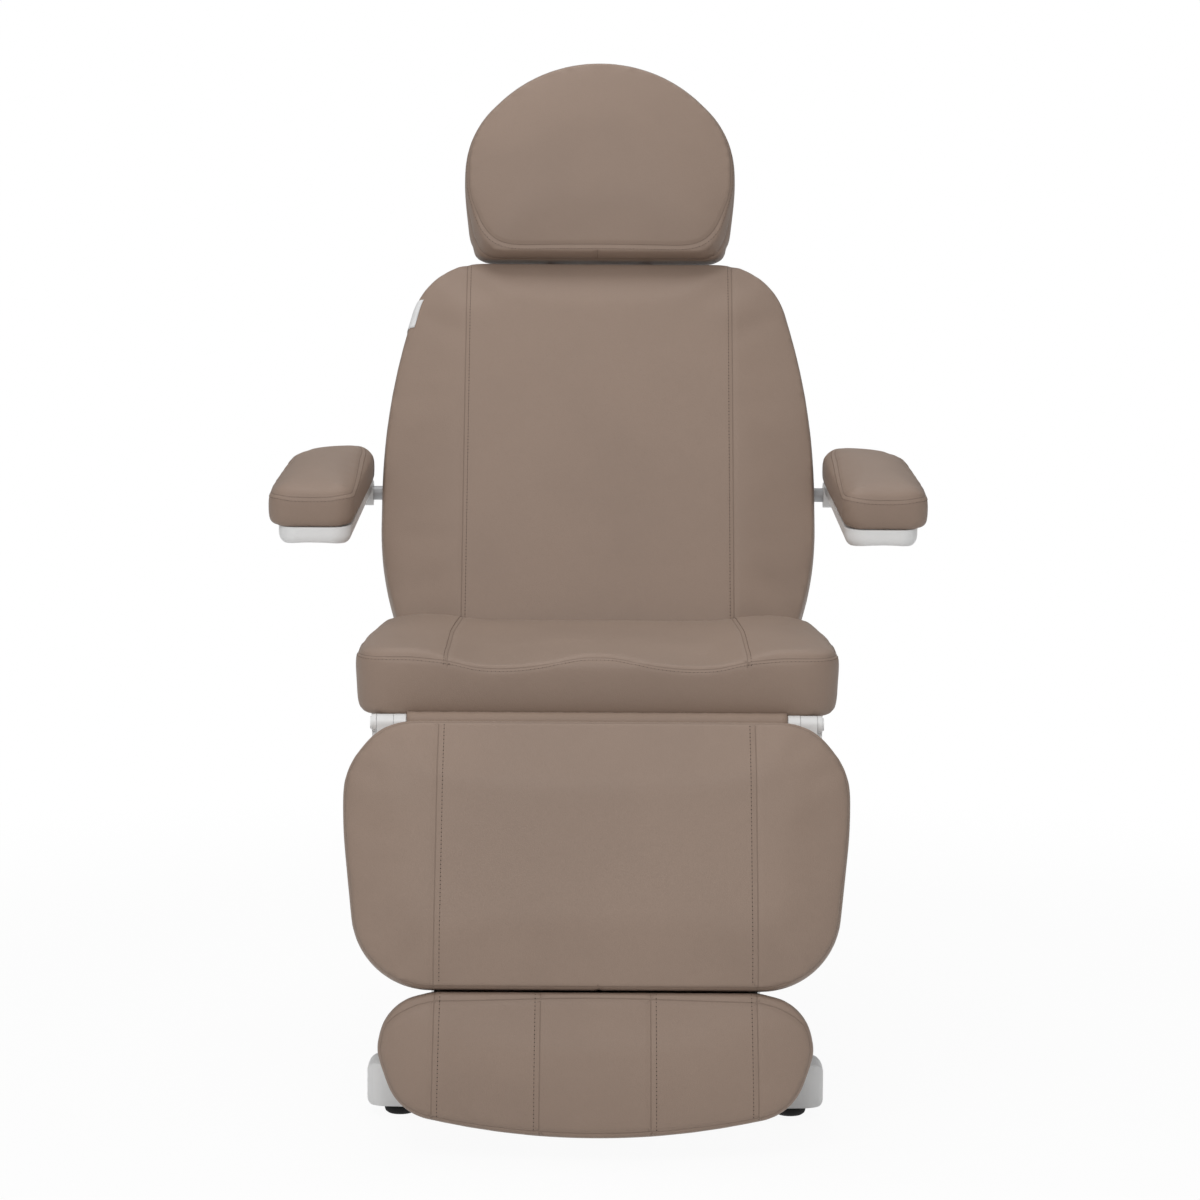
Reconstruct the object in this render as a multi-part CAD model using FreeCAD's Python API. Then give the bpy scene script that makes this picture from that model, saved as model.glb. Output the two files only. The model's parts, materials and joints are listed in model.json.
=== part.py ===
import FreeCAD, Part
import math
import os

os.makedirs("parts", exist_ok=True)
Vec = FreeCAD.Vector

# Electric beauty chair, in millimetres. The origin is on the floor under the swivel axis,
# +Z is up, the sitter faces -Y, and +X is on the right of someone facing the chair.

# Fits and gaps
running_fit = 0.05
press_fit = 0.02
flat_gap = 0.3
hinge_side_gap = 0.5
crank_side_gap = 1.0

# Crown of the upright cushions, drawn in from their outlines
pad_crown = 26.0

# Base
foot_radius = 21.0
foot_height = 13.0
base_bar_y = 242.0
stud_radius = 5.0
stud_depth = 7.0
stud_collar_radius = 11.0
stud_collar_height = 12.0
bar_depth = 50.0
bar_height = 44.0
bar_wall = 3.0
bar_end_gap = 19.0
foot_end_inset = 24.0
spine_width = 110.0
spine_wall = 4.0
cover_half_width = 298.0
rear_cover_draw = 62.0
cover_depth = 70.0
cover_bow = 10.0
cover_end_radius = 28.0
cover_wall = 3.0
cover_floor_gap = 16.0

# Turntable
turntable_radius = 120.0
lower_plate_thickness = 6.0
glide_ring_outer = 112.0
glide_ring_inner = 80.0
glide_ring_thickness = 4.0
turntable_thickness = 8.0
kingpin_radius = 15.0
kingpin_collar_radius = 22.0
kingpin_collar_height = 8.0
kingpin_hole_gap = 1.0

# Telescopic column and its drive
column_width = 190.0
column_depth = 150.0
column_height = 368.0
column_wall = 3.0
column_corner_radius = 28.0
stage_gap = 2.2
stage_step = 13.5
stage_floor = 5.0
glide_width = 44.0
glide_height = 100.0
glide_offset = 6.0
lift_tube_inset = 35.0
lift_tube_radius = 23.0
lift_rod_radius = 17.0
lift_tube_clearance = 12.0
lift_rod_floor = 8.0
lift_motor_inset = 34.0
lift_motor_radius = 30.0
lift_motor_height = 135.0
lift_block_side_gap = 11.6
lift_block_end_gap = 21.6
lift_block_height = 30.0

# Seat frame
head_plate_thickness = 8.0
head_plate_side = 20.0
head_plate_end = 35.0
frame_height = 40.0
frame_wall = 2.5
rail_width = 25.0
rail_x = 150.0
cross_tube_depth = 30.0
front_tube_inset = 35.0
rear_tube_inset = 44.0
seat_tube_inset = 18.0

# Seat board and cushion
board_thickness = 12.0
seat_thickness = 70.0
seat_front_rise = 9.0
seat_front_y = -335.0
seat_rear_y = 104.0
seat_rear_lean = 22.0
seat_front_half_width = 304.0
seat_mid_half_width = 312.0
seat_mid_y = -70.0
seat_rear_half_width = 303.0
seat_front_corner_radius = 48.0
seat_side_bend_radius = 2500.0
seat_rear_corner_radius = 60.0
seat_board_inset = 16.0
seat_crown = 14.0
thigh_radius = 290.0
thigh_x = 125.0
thigh_depth = 18.0
thigh_length = 340.0

# Leg hinge
leg_hinge_ahead = 2.0
leg_shaft_radius = 8.0
flap_end_gap = 5.0
flap_clearance = 1.0
leg_knuckle_width = 21.0
leg_bracket_thickness = 6.0
leg_bracket_drop = 26.0
shaft_overhang = 2.0

# Leg rest, hanging at rest with its lower end forward
leg_angle = 16.0
leg_pad_start = 8.0
leg_pad_length = 333.0
leg_pad_back = 4.0
leg_pad_thickness = 75.0
leg_half_width = 318.5
leg_top_corner_radius = 90.0
leg_taper_start = 130.0
leg_taper_bend_radius = 600.0
leg_bottom_half_width = 296.0
leg_bottom_corner_radius = 100.0
leg_board_inset = 22.0
leg_tube_depth = 25.0
leg_tube_width = 20.0
leg_tube_start = 22.0
leg_tube_end_gap = 41.0
leg_upper_tube = 60.0
leg_lower_tube_rise = 38.0
leg_crank_below = 30.0
leg_crank_back = 62.0
crank_radius = 13.0
crank_thickness = 7.0

# Foot rest on two sliding rods
foot_rod_x = 120.0
foot_rod_radius = 7.0
foot_rod_gap = 10.0
foot_rod_reach = 39.0
foot_guide_radius = 11.5
foot_guide_rise = 57.0
foot_guide_length = 110.0
foot_pad_turn = 7.0
foot_pad_gap = 5.0
foot_pad_setback = 12.6
foot_pad_thickness = 55.0
foot_half_width = 274.0
foot_top_corner_radius = 60.0
foot_side_length = 73.0
foot_side_bend_radius = 150.0
foot_lower_half_width = 246.0
foot_lower_along = 151.0
foot_lower_corner_radius = 70.0
foot_apex_along = 199.4
foot_bottom_bend_radius = 950.0
foot_board_thickness = 10.0
foot_board_inset = 20.0
foot_bracket_half_width = 150.0
foot_bracket_start = 17.0
foot_bracket_height = 36.0
foot_bracket_depth = 33.0

# Back rest
back_recline = 25.0
back_hinge_behind = 102.0
back_hinge_drop = 15.0
back_plate_inset = 20.0
back_plate_rim = 2.0
back_plate_thickness = 8.0
back_plate_height = 33.0
back_knuckle_radius = 14.0
back_lug_thickness = 11.0
back_pin_radius = 7.0
back_pin_head_radius = 11.0
back_pin_head = 5.0
back_pad_back = 8.0
back_pad_thickness = 87.0
back_pad_bottom = -45.0
back_pad_top = 606.0
back_side_overhang = 19.5
back_bottom_draw = 69.5
back_bottom_corner_radius = 100.0
back_lower_along = 107.0
back_lower_bend_radius = 450.0
back_upper_along = 379.0
back_upper_bend_radius = 990.0
back_top_draw = 58.1
back_shoulder_radius = 104.0
back_board_inset = 22.0
back_panel_inset = 30.0
back_panel_thickness = 4.0
back_panel_bottom = 60.0
back_tube_depth = 25.0
back_tube_height = 25.0
back_tube_overhang = 2.5
back_lower_tube = 18.0
back_upper_tube_drop = 106.0
upright_inset = 23.0
upright_width = 30.0
back_crank_reach = 95.0

# Arms on one cross axle
axle_radius = 10.0
axle_along = 282.0
arm_droop = 5.0
arm_pad_rear = 28.0
arm_pad_front = 400.0
arm_pad_base = 22.0
arm_pad_thickness = 58.0
arm_back_gap = 10.5
arm_rear_width = 128.0
arm_splay = 10.0
arm_front_width = 115.0
arm_inner_rear_corner_radius = 28.0
arm_outer_rear_corner_radius = 100.0
arm_front_corner_radius = 28.0
arm_crown = 24.0
arm_shell_inset = 3.5
arm_shell_round = 10.0
arm_shell_rear = 10.0
arm_shell_thickness = 25.0
arm_shell_corner_radius = 14.0
arm_hub_radius = 18.0
arm_hub_inset = 6.0
arm_hub_width = 94.0
arm_hub_cap = 9.0
arm_arch_height = 4.0
arm_arch_start = 50.0

# Head rest on two sliding rods and a tilt hinge
head_rod_x = 70.0
head_rod_radius = 7.0
head_rod_rise = 10.0
head_guide_radius = 11.5
head_guide_below = 70.0
head_guide_length = 130.0
head_bridge_half_width = 95.0
head_bridge_gap = 79.0
head_bridge_height = 25.0
head_hinge_rise = 12.0
head_hinge_front = 10.0
head_pin_radius = 5.0
head_knuckle_radius = 9.0
head_ear_x = 40.0
head_ear_thickness = 6.0
head_turn = 9.5
head_bracket_half_width = 60.0
head_bracket_half_height = 40.0
head_bracket_thickness = 8.0
head_web_thickness = 12.0
head_board_gap = 24.7
head_board_thickness = 10.0
head_board_inset = 20.0
head_pad_gap = 13.0
head_pad_height = 289.5
head_pad_thickness = 88.0
head_half_width = 197.0
head_side_along = 105.0
head_side_radius = 420.0
head_bottom_draw = 12.0
head_bottom_corner_radius = 46.0
head_dome_draw = 4.0
head_side_bend_radius = 150.0
head_dome_drop = 103.0
head_dome_half_width = 85.0
head_dome_radius = 212.0

# Control box and power inlet
box_half_width = 70.0
box_depth = 50.0
box_height = 72.0
box_gap = 5.0
box_wall = 2.5
inlet_width = 31.0
inlet_height = 24.0
inlet_wall = 3.0
inlet_depth = 18.0
inlet_recess = 15.0
inlet_flange_width = 50.0
inlet_flange_height = 32.0
inlet_flange = 2.5

# Back and leg drives, one on each side of the column
drive_eye_radius = 12.0
drive_eye_half_width = 9.0
drive_pin_radius = 6.0
drive_block_start = 22.0
drive_block_length = 80.0
drive_block_half = 22.0
drive_motor_radius = 25.0
drive_motor_drop = 44.0
drive_motor_length = 125.0
drive_tube_radius = 15.0
drive_rod_radius = 10.0
drive_bracket_thickness = 5.0
leg_drive_drop = 38.0
leg_drive_shown = 48.0
drive_bore_gap = 10.0
leg_rod_inside = 215.0
back_drive_drop = 50.0
back_drive_shown = 106.0
back_rod_inside = 150.0
back_drive_stroke = 95.0

# Heights and places that follow from the sizes above
rear_cover_half_width = cover_half_width - rear_cover_draw
bar_bottom = foot_height + stud_collar_height
bar_top = bar_bottom + bar_height
ring_z = bar_top + lower_plate_thickness
plate_z = ring_z + glide_ring_thickness
column_z = plate_z + turntable_thickness
head_plate_z = column_z + column_height + 2 * stage_step
frame_z = head_plate_z + head_plate_thickness
frame_top = frame_z + frame_height
seat_z = frame_top + board_thickness
seat_front_slope = seat_front_rise / (seat_rear_y - seat_front_y)
seat_front_top = seat_z + seat_thickness + seat_front_rise
stages_wall = 3 * column_wall + 2 * stage_gap
lift_block_half_width = column_width / 2 - stages_wall - lift_block_side_gap
lift_block_half_depth = column_depth / 2 - stages_wall - lift_block_end_gap
lift_tube_x = lift_tube_inset - lift_block_half_width
lift_motor_x = lift_block_half_width - lift_motor_inset
head_plate_half_width = rail_x + head_plate_side
head_plate_half_depth = column_depth / 2 + head_plate_end
front_tube_y = seat_front_y + front_tube_inset
rear_tube_y = seat_rear_y - rear_tube_inset
seat_tube_half_length = seat_front_half_width - seat_tube_inset
leg_knuckle_x = seat_tube_half_length - leg_bracket_thickness - hinge_side_gap - leg_knuckle_width
leg_hinge_y = seat_front_y - leg_hinge_ahead
leg_hinge_z = frame_top
flap_radius = board_thickness - flap_clearance
back_hinge_y = seat_rear_y + back_hinge_behind
back_plate_x = seat_tube_half_length - back_plate_inset
back_plate_outer_x = back_plate_x + back_plate_thickness
back_lug_x = back_plate_outer_x + hinge_side_gap
back_lug_outer_x = back_lug_x + back_lug_thickness
back_tube_half_length = back_lug_outer_x + back_tube_overhang
back_half_width = back_tube_half_length + back_side_overhang
back_bottom_half_width = back_half_width - back_bottom_draw
back_top_half_width = back_half_width - back_top_draw
back_hinge_z = frame_top - back_hinge_drop
back_tube_front = board_thickness - back_pad_back
back_tube_middle = back_tube_front + back_tube_depth / 2
leg_tube_front = board_thickness - leg_pad_back
leg_tube_middle = leg_tube_front + leg_tube_depth / 2
leg_pad_end = leg_pad_start + leg_pad_length
leg_tube_end = leg_pad_end - leg_tube_end_gap
leg_lower_tube = leg_tube_end - leg_lower_tube_rise
leg_crank_along = leg_upper_tube + leg_crank_below
foot_pad_start = leg_pad_end + foot_pad_gap
foot_pad_front = leg_pad_back + leg_pad_thickness - foot_pad_setback
foot_rod_top = leg_upper_tube + leg_tube_width + foot_rod_gap
foot_rod_bottom = foot_pad_start + foot_rod_reach
foot_guide_start = leg_lower_tube - foot_guide_rise
back_upper_tube = back_pad_top - back_upper_tube_drop
upright_x = back_bottom_half_width - upright_inset
arm_inner_rear_x = back_half_width + arm_back_gap
arm_outer_rear_x = arm_inner_rear_x + arm_rear_width
arm_inner_front_x = arm_inner_rear_x + arm_splay
arm_outer_front_x = arm_inner_front_x + arm_front_width
arm_hub_inner_x = arm_inner_rear_x + arm_hub_inset
arm_hub_outer_x = arm_hub_inner_x + arm_hub_width
axle_half_length = arm_hub_outer_x - arm_hub_cap
head_guide_bottom = back_upper_tube - head_guide_below
head_rod_bottom = head_guide_bottom + head_rod_rise
head_bridge_along = back_pad_top + head_bridge_gap
head_hinge_along = head_bridge_along + head_hinge_rise
head_pad_bottom = back_pad_top + head_pad_gap - head_hinge_along
inlet_z = head_plate_z - box_height / 2
drive_x = head_plate_half_width + drive_motor_radius


def box(x0, x1, y0, y1, z0, z1):
    return Part.makeBox(x1 - x0, y1 - y0, z1 - z0, Vec(x0, y0, z0))


def rod_x(radius, x0, x1, y=0.0, z=0.0):
    return Part.makeCylinder(radius, x1 - x0, Vec(x0, y, z), Vec(1, 0, 0))


def rod_y(radius, y0, y1, x=0.0, z=0.0):
    return Part.makeCylinder(radius, y1 - y0, Vec(x, y0, z), Vec(0, 1, 0))


def rod_z(radius, z0, z1, x=0.0, y=0.0):
    return Part.makeCylinder(radius, z1 - z0, Vec(x, y, z0), Vec(0, 0, 1))


def tube_x(x0, x1, y0, y1, z0, z1, wall):
    hollow = box(x0, x1, y0 + wall, y1 - wall, z0 + wall, z1 - wall)
    return box(x0, x1, y0, y1, z0, z1).cut(hollow)


def tube_y(x0, x1, y0, y1, z0, z1, wall):
    hollow = box(x0 + wall, x1 - wall, y0, y1, z0 + wall, z1 - wall)
    return box(x0, x1, y0, y1, z0, z1).cut(hollow)


def tube_z(x0, x1, y0, y1, z0, z1, wall):
    hollow = box(x0 + wall, x1 - wall, y0 + wall, y1 - wall, z0, z1)
    return box(x0, x1, y0, y1, z0, z1).cut(hollow)


def joined(first, *others):
    return first.fuse(list(others)).removeSplitter()


def mirrored(shape):
    return shape.mirror(Vec(0, 0, 0), Vec(1, 0, 0))


def both_sides(shape):
    return Part.makeCompound([shape, mirrored(shape)])


def link(x0, x1, start, start_radius, end, end_radius):
    # A flat lever in a plane of constant x, between two round ends given as (y, z).
    along_y = end[0] - start[0]
    along_z = end[1] - start[1]
    reach = math.hypot(along_y, along_z)
    side_y = -along_z / reach
    side_z = along_y / reach
    corners = []
    for centre, offset in ((start, start_radius), (end, end_radius),
                           (end, -end_radius), (start, -start_radius)):
        corners.append(Vec(x0, centre[0] + side_y * offset, centre[1] + side_z * offset))
    web = Part.Face(Part.makePolygon(corners + corners[:1])).extrude(Vec(x1 - x0, 0, 0))
    return joined(web, rod_x(start_radius, x0, x1, *start), rod_x(end_radius, x0, x1, *end))


def mirrored_corners(right_half):
    # Corners (across, along, radius) of the right half; a corner on the middle line isn't repeated.
    left_half = [(-across, along, radius) for across, along, radius in reversed(right_half) if across > 0]
    return right_half + left_half


def inset_corners(corners, inset):
    area = 0.0
    count = len(corners)
    for i in range(count):
        a, b = corners[i], corners[(i + 1) % count]
        area += a[0] * b[1] - b[0] * a[1]
    turn = 1.0 if area > 0 else -1.0
    lines = []
    for i in range(count):
        a, b = corners[i], corners[(i + 1) % count]
        length = math.hypot(b[0] - a[0], b[1] - a[1])
        ux, uy = (b[0] - a[0]) / length, (b[1] - a[1]) / length
        lines.append((a[0] - turn * uy * inset, a[1] + turn * ux * inset, ux, uy))
    moved = []
    for i in range(count):
        px, py, ux, uy = lines[i - 1]
        qx, qy, vx, vy = lines[i]
        cross = ux * vy - uy * vx
        reach = ((qx - px) * vy - (qy - py) * vx) / cross
        moved.append((px + ux * reach, py + uy * reach, corners[i][2] - inset))
    return moved


def rounded_wire(corners, inset, place):
    # Straight runs joined by tangent arcs; place turns (across, along) into a point in space.
    points = inset_corners(corners, inset)
    count = len(points)
    runs = []
    for i in range(count):
        a, b = points[i], points[(i + 1) % count]
        length = math.hypot(b[0] - a[0], b[1] - a[1])
        runs.append(((b[0] - a[0]) / length, (b[1] - a[1]) / length, length))
    tangents = []
    for i in range(count):
        before, after = runs[i - 1], runs[i]
        half_turn = math.acos(before[0] * after[0] + before[1] * after[1]) / 2
        tangents.append(points[i][2] * math.tan(half_turn))
    limited = []
    for i in range(count):
        room_before = runs[i - 1][2] / (tangents[i - 1] + tangents[i])
        room_after = runs[i][2] / (tangents[i] + tangents[(i + 1) % count])
        limited.append(tangents[i] * min(1.0, 0.999 * room_before, 0.999 * room_after))
    starts, middles, ends = [], [], []
    for i in range(count):
        before, after, reach = runs[i - 1], runs[i], limited[i]
        x, y, _ = points[i]
        half_turn = math.acos(before[0] * after[0] + before[1] * after[1]) / 2
        radius = reach / math.tan(half_turn)
        inward_x, inward_y = after[0] - before[0], after[1] - before[1]
        size = math.hypot(inward_x, inward_y)
        depth = radius / math.cos(half_turn) - radius
        starts.append((x - before[0] * reach, y - before[1] * reach))
        middles.append((x + inward_x / size * depth, y + inward_y / size * depth))
        ends.append((x + after[0] * reach, y + after[1] * reach))
    edges = []
    for i in range(count):
        following = (i + 1) % count
        edges.append(Part.Arc(place(*starts[i]), place(*middles[i]), place(*ends[i])).toShape())
        edges.append(Part.LineSegment(place(*ends[i]), place(*starts[following])).toShape())
    return Part.Wire(edges)


def pad(levels):
    # A crowned closed form through rounded outlines.
    wires = [rounded_wire(corners, inset, place) for corners, inset, place in levels]
    return Part.makeLoft(wires, True, False)


def facing_plane(front):
    # A plane of constant depth in a piece that stands upright and faces -Y.
    return lambda across, along: Vec(across, -front, along)


def level_plane(height):
    return lambda across, along: Vec(across, along, height)


def facing_plate(corners, inset, back, thickness):
    face = Part.Face(rounded_wire(corners, inset, facing_plane(back)))
    return face.extrude(Vec(0, -thickness, 0))


def facing_pad(corners, back, thickness):
    # Cushion section: drawn in at the board, full in the middle, crowned in front.
    profile = [(0.0, 0.35), (0.14, 0.08), (0.45, 0.0), (0.76, 0.1), (0.92, 0.35), (1.0, 1.0)]
    return pad([(corners, part * pad_crown, facing_plane(back + share * thickness))
                for share, part in profile])


def on_hinge(shape, angle, y, z):
    placed = shape.copy()
    placed.rotate(Vec(0, 0, 0), Vec(1, 0, 0), angle)
    placed.translate(Vec(0, y, z))
    return placed


def on_back(shape):
    return on_hinge(shape, -back_recline, back_hinge_y, back_hinge_z)


def on_leg(shape):
    return on_hinge(shape, -leg_angle, leg_hinge_y, leg_hinge_z)


def on_foot(shape):
    return on_leg(on_hinge(shape, foot_pad_turn, -foot_pad_front, -foot_pad_start))


def on_head(shape):
    return on_back(on_hinge(shape, head_turn, -head_hinge_front, head_hinge_along))


def on_arm(shape):
    level = back_recline + arm_droop
    return on_back(on_hinge(shape, level, back_tube_middle, axle_along))


def save(name, shape):
    shape.exportStep("parts/" + name + ".step")


# Base: two cross bars, a spine, covers, studs and feet
def foot_x(half_width):
    return half_width - bar_end_gap - foot_end_inset


def cross_bar(y, half_width):
    half_length = half_width - bar_end_gap
    bar = tube_x(-half_length, half_length, y - bar_depth / 2, y + bar_depth / 2,
                 bar_bottom, bar_top, bar_wall)
    for x in (-foot_x(half_width), foot_x(half_width)):
        bar = bar.cut(rod_z(stud_radius + running_fit, bar_bottom, bar_bottom + bar_wall, x, y))
    return bar


def bar_cover(side, half_width):
    # The side away from the column is bowed; the inner side is notched round the spine.
    inner_y = side * (base_bar_y - cover_depth / 2)
    outer_y = side * (base_bar_y + cover_depth / 2)
    bow_x = half_width / 2
    corners = mirrored_corners([
        (half_width, inner_y, cover_end_radius),
        (half_width, outer_y, cover_end_radius),
        (bow_x, outer_y + side * cover_bow, half_width),
    ])
    wire = rounded_wire(corners, 0.0, level_plane(cover_floor_gap))
    hollow_wire = rounded_wire(corners, cover_wall, level_plane(cover_floor_gap))
    cover = Part.Face(wire).extrude(Vec(0, 0, bar_top + cover_wall - cover_floor_gap))
    cover = cover.cut(Part.Face(hollow_wire).extrude(Vec(0, 0, bar_top - cover_floor_gap)))
    notch_half = spine_width / 2 + flat_gap
    near, far = sorted((inner_y - side * cover_wall, inner_y + side * 2 * cover_wall))
    return cover.cut(box(-notch_half, notch_half, near, far, cover_floor_gap, bar_top))


spine_half = base_bar_y - bar_depth / 2
spine = tube_y(-spine_width / 2, spine_width / 2, -spine_half, spine_half, bar_bottom, bar_top, spine_wall)
spine = spine.cut(rod_z(kingpin_radius + kingpin_hole_gap, bar_top - spine_wall, bar_top))
front_bar = cross_bar(-base_bar_y, cover_half_width)
rear_bar = cross_bar(base_bar_y, rear_cover_half_width)
save("base_cross_bars", Part.makeCompound([front_bar, rear_bar]))
save("base_spine", spine)
front_cover = bar_cover(-1, cover_half_width)
rear_cover = bar_cover(1, rear_cover_half_width)
save("base_bar_covers", Part.makeCompound([front_cover, rear_cover]))

foot_places = []
for y, half_width in ((-base_bar_y, cover_half_width), (base_bar_y, rear_cover_half_width)):
    foot_places.append((-foot_x(half_width), y))
    foot_places.append((foot_x(half_width), y))
feet = []
studs = []
stud_foot_z = foot_height - stud_depth
for x, y in foot_places:
    foot = rod_z(foot_radius, 0, foot_height, x, y)
    feet.append(foot.cut(rod_z(stud_radius + press_fit, stud_foot_z, foot_height, x, y)))
    stud = rod_z(stud_radius, stud_foot_z, bar_bottom + bar_height / 2, x, y)
    studs.append(joined(stud, rod_z(stud_collar_radius, foot_height, bar_bottom, x, y)))
save("levelling_feet", Part.makeCompound(feet))
save("foot_studs", Part.makeCompound(studs))

# Turntable: a fixed plate and glide ring, and a plate on a kingpin that turns on them
lower_plate = rod_z(turntable_radius, bar_top, ring_z)
save("turntable_lower_plate", lower_plate.cut(rod_z(kingpin_radius + running_fit, bar_top, ring_z)))
glide_ring = rod_z(glide_ring_outer, ring_z, plate_z)
save("turntable_glide_ring", glide_ring.cut(rod_z(glide_ring_inner, ring_z, plate_z)))
turntable = rod_z(turntable_radius, plate_z, column_z)
save("turntable_plate", turntable.cut(rod_z(kingpin_radius + press_fit, plate_z, column_z)))
collar_top = bar_top - spine_wall - flat_gap
kingpin = rod_z(kingpin_radius, collar_top - kingpin_collar_height, column_z)
collar = rod_z(kingpin_collar_radius, collar_top - kingpin_collar_height, collar_top)
save("turntable_kingpin", joined(kingpin, collar))


# Telescopic column: three nested stages, glide strips and a lift drive
def stage_corners(width, depth, corner):
    return mirrored_corners([(width / 2, -depth / 2, corner), (width / 2, depth / 2, corner)])


def column_stage(number):
    shrink = number * (column_wall + stage_gap)
    corners = stage_corners(column_width, column_depth, column_corner_radius)
    bottom = column_z + number * stage_floor
    height = column_z + column_height + number * stage_step - bottom
    outside = Part.Face(rounded_wire(corners, shrink, level_plane(bottom)))
    inside = Part.Face(rounded_wire(corners, shrink + column_wall, level_plane(bottom)))
    return outside.cut(inside).extrude(Vec(0, 0, height))


def stage_glides(number):
    # Strips on the outer faces of a stage, which run on the stage outside it.
    shrink = number * (column_wall + stage_gap)
    thickness = stage_gap - running_fit
    half_width = column_width / 2 - shrink
    half_depth = column_depth / 2 - shrink
    low = column_z + number * stage_floor + glide_offset
    high = low + glide_height
    strip_half = glide_width / 2
    side = box(half_width, half_width + thickness, -strip_half, strip_half, low, high)
    front = box(-strip_half, strip_half, -half_depth - thickness, -half_depth, low, high)
    rear = box(-strip_half, strip_half, half_depth, half_depth + thickness, low, high)
    return Part.makeCompound([side, mirrored(side), front, rear])


save("column_outer", column_stage(0))
save("column_middle", column_stage(1))
save("column_middle_glides", stage_glides(1))
save("column_inner", column_stage(2))
save("column_inner_glides", stage_glides(2))

block_top = column_z + lift_block_height
lift_block = box(-lift_block_half_width, lift_block_half_width, -lift_block_half_depth, lift_block_half_depth,
                 column_z, block_top)
lift_tube = rod_z(lift_tube_radius, block_top, head_plate_z - lift_tube_clearance, lift_tube_x)
lift_motor = rod_z(lift_motor_radius, block_top, block_top + lift_motor_height, lift_motor_x)
lift_bore = rod_z(lift_rod_radius + running_fit, block_top, head_plate_z, lift_tube_x)
save("lift_drive", joined(lift_block, lift_tube, lift_motor).cut(lift_bore))
save("lift_rod", rod_z(lift_rod_radius, block_top + lift_rod_floor, head_plate_z, lift_tube_x))

# Seat frame, board and cushion
save("column_head_plate", box(-head_plate_half_width, head_plate_half_width, -head_plate_half_depth,
                              head_plate_half_depth, head_plate_z, frame_z))
front_tube_rear = front_tube_y + cross_tube_depth
rail = tube_y(rail_x - rail_width / 2, rail_x + rail_width / 2, front_tube_rear, rear_tube_y,
              frame_z, frame_top, frame_wall)
seat_tubes = [rail, mirrored(rail)]
for tube_front in (front_tube_y, rear_tube_y):
    seat_tubes.append(tube_x(-seat_tube_half_length, seat_tube_half_length, tube_front,
                             tube_front + cross_tube_depth, frame_z, frame_top, frame_wall))
save("seat_frame_tubes", Part.makeCompound(seat_tubes))


def seat_corners(lean):
    return mirrored_corners([
        (seat_front_half_width, seat_front_y, seat_front_corner_radius),
        (seat_mid_half_width, seat_mid_y, seat_side_bend_radius),
        (seat_rear_half_width, seat_rear_y + lean, seat_rear_corner_radius),
    ])


def seat_plane(share):
    # Level at the board, and rising towards the front at the top.
    height = seat_z + share * seat_thickness
    slope = share * seat_front_slope
    return lambda across, along: Vec(across, along, height + slope * (seat_rear_y - along))


board_face = Part.Face(rounded_wire(seat_corners(0.0), seat_board_inset, level_plane(frame_top)))
save("seat_board", board_face.extrude(Vec(0, 0, board_thickness)))
seat_profile = [(0.0, 0.35), (0.10, 0.08), (0.45, 0.0), (0.8, 0.05), (0.93, 0.3), (1.0, 1.0)]
seat_levels = []
for share, part in seat_profile:
    seat_levels.append((seat_corners(share * seat_rear_lean), part * seat_crown, seat_plane(share)))
seat_pad = pad(seat_levels)
thigh_slope = math.atan(thigh_depth / thigh_length - seat_front_slope)
thigh_axis = Vec(0, math.cos(thigh_slope), math.sin(thigh_slope))
for x in (-thigh_x, thigh_x):
    thigh_front = Vec(x, seat_front_y, seat_front_top - thigh_depth + thigh_radius)
    thigh_start = thigh_front - thigh_axis * thigh_length
    thigh = Part.makeCylinder(thigh_radius, 2 * thigh_length, thigh_start, thigh_axis)
    seat_pad = seat_pad.cut(thigh)
save("seat_cushion", seat_pad)

# Leg hinge: shaft in four brackets, with a vinyl roll over its middle
shaft = (leg_hinge_y, leg_hinge_z)
knuckle_outer_x = leg_knuckle_x + leg_knuckle_width
inner_bracket_x = leg_knuckle_x - hinge_side_gap - leg_bracket_thickness
outer_bracket_x = knuckle_outer_x + hinge_side_gap


def leg_bracket(x):
    arm_half = leg_bracket_drop / 2
    arm_z = frame_top - flat_gap - arm_half
    arm = box(x, x + leg_bracket_thickness, leg_hinge_y, front_tube_y, arm_z - arm_half, arm_z + arm_half)
    bracket = joined(arm, rod_x(flap_radius, x, x + leg_bracket_thickness, *shaft))
    return bracket.cut(rod_x(leg_shaft_radius + press_fit, x, x + leg_bracket_thickness, *shaft))


leg_brackets = [leg_bracket(inner_bracket_x), leg_bracket(outer_bracket_x)]
save("leg_hinge_brackets", Part.makeCompound(leg_brackets + [mirrored(bracket) for bracket in leg_brackets]))
shaft_half = outer_bracket_x + leg_bracket_thickness + shaft_overhang
save("leg_hinge_shaft", rod_x(leg_shaft_radius, -shaft_half, shaft_half, *shaft))
flap_half_width = inner_bracket_x - flap_end_gap
flap = rod_x(flap_radius, -flap_half_width, flap_half_width, *shaft)
save("knee_flap", flap.cut(rod_x(leg_shaft_radius + press_fit, -flap_half_width, flap_half_width, *shaft)))

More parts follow.
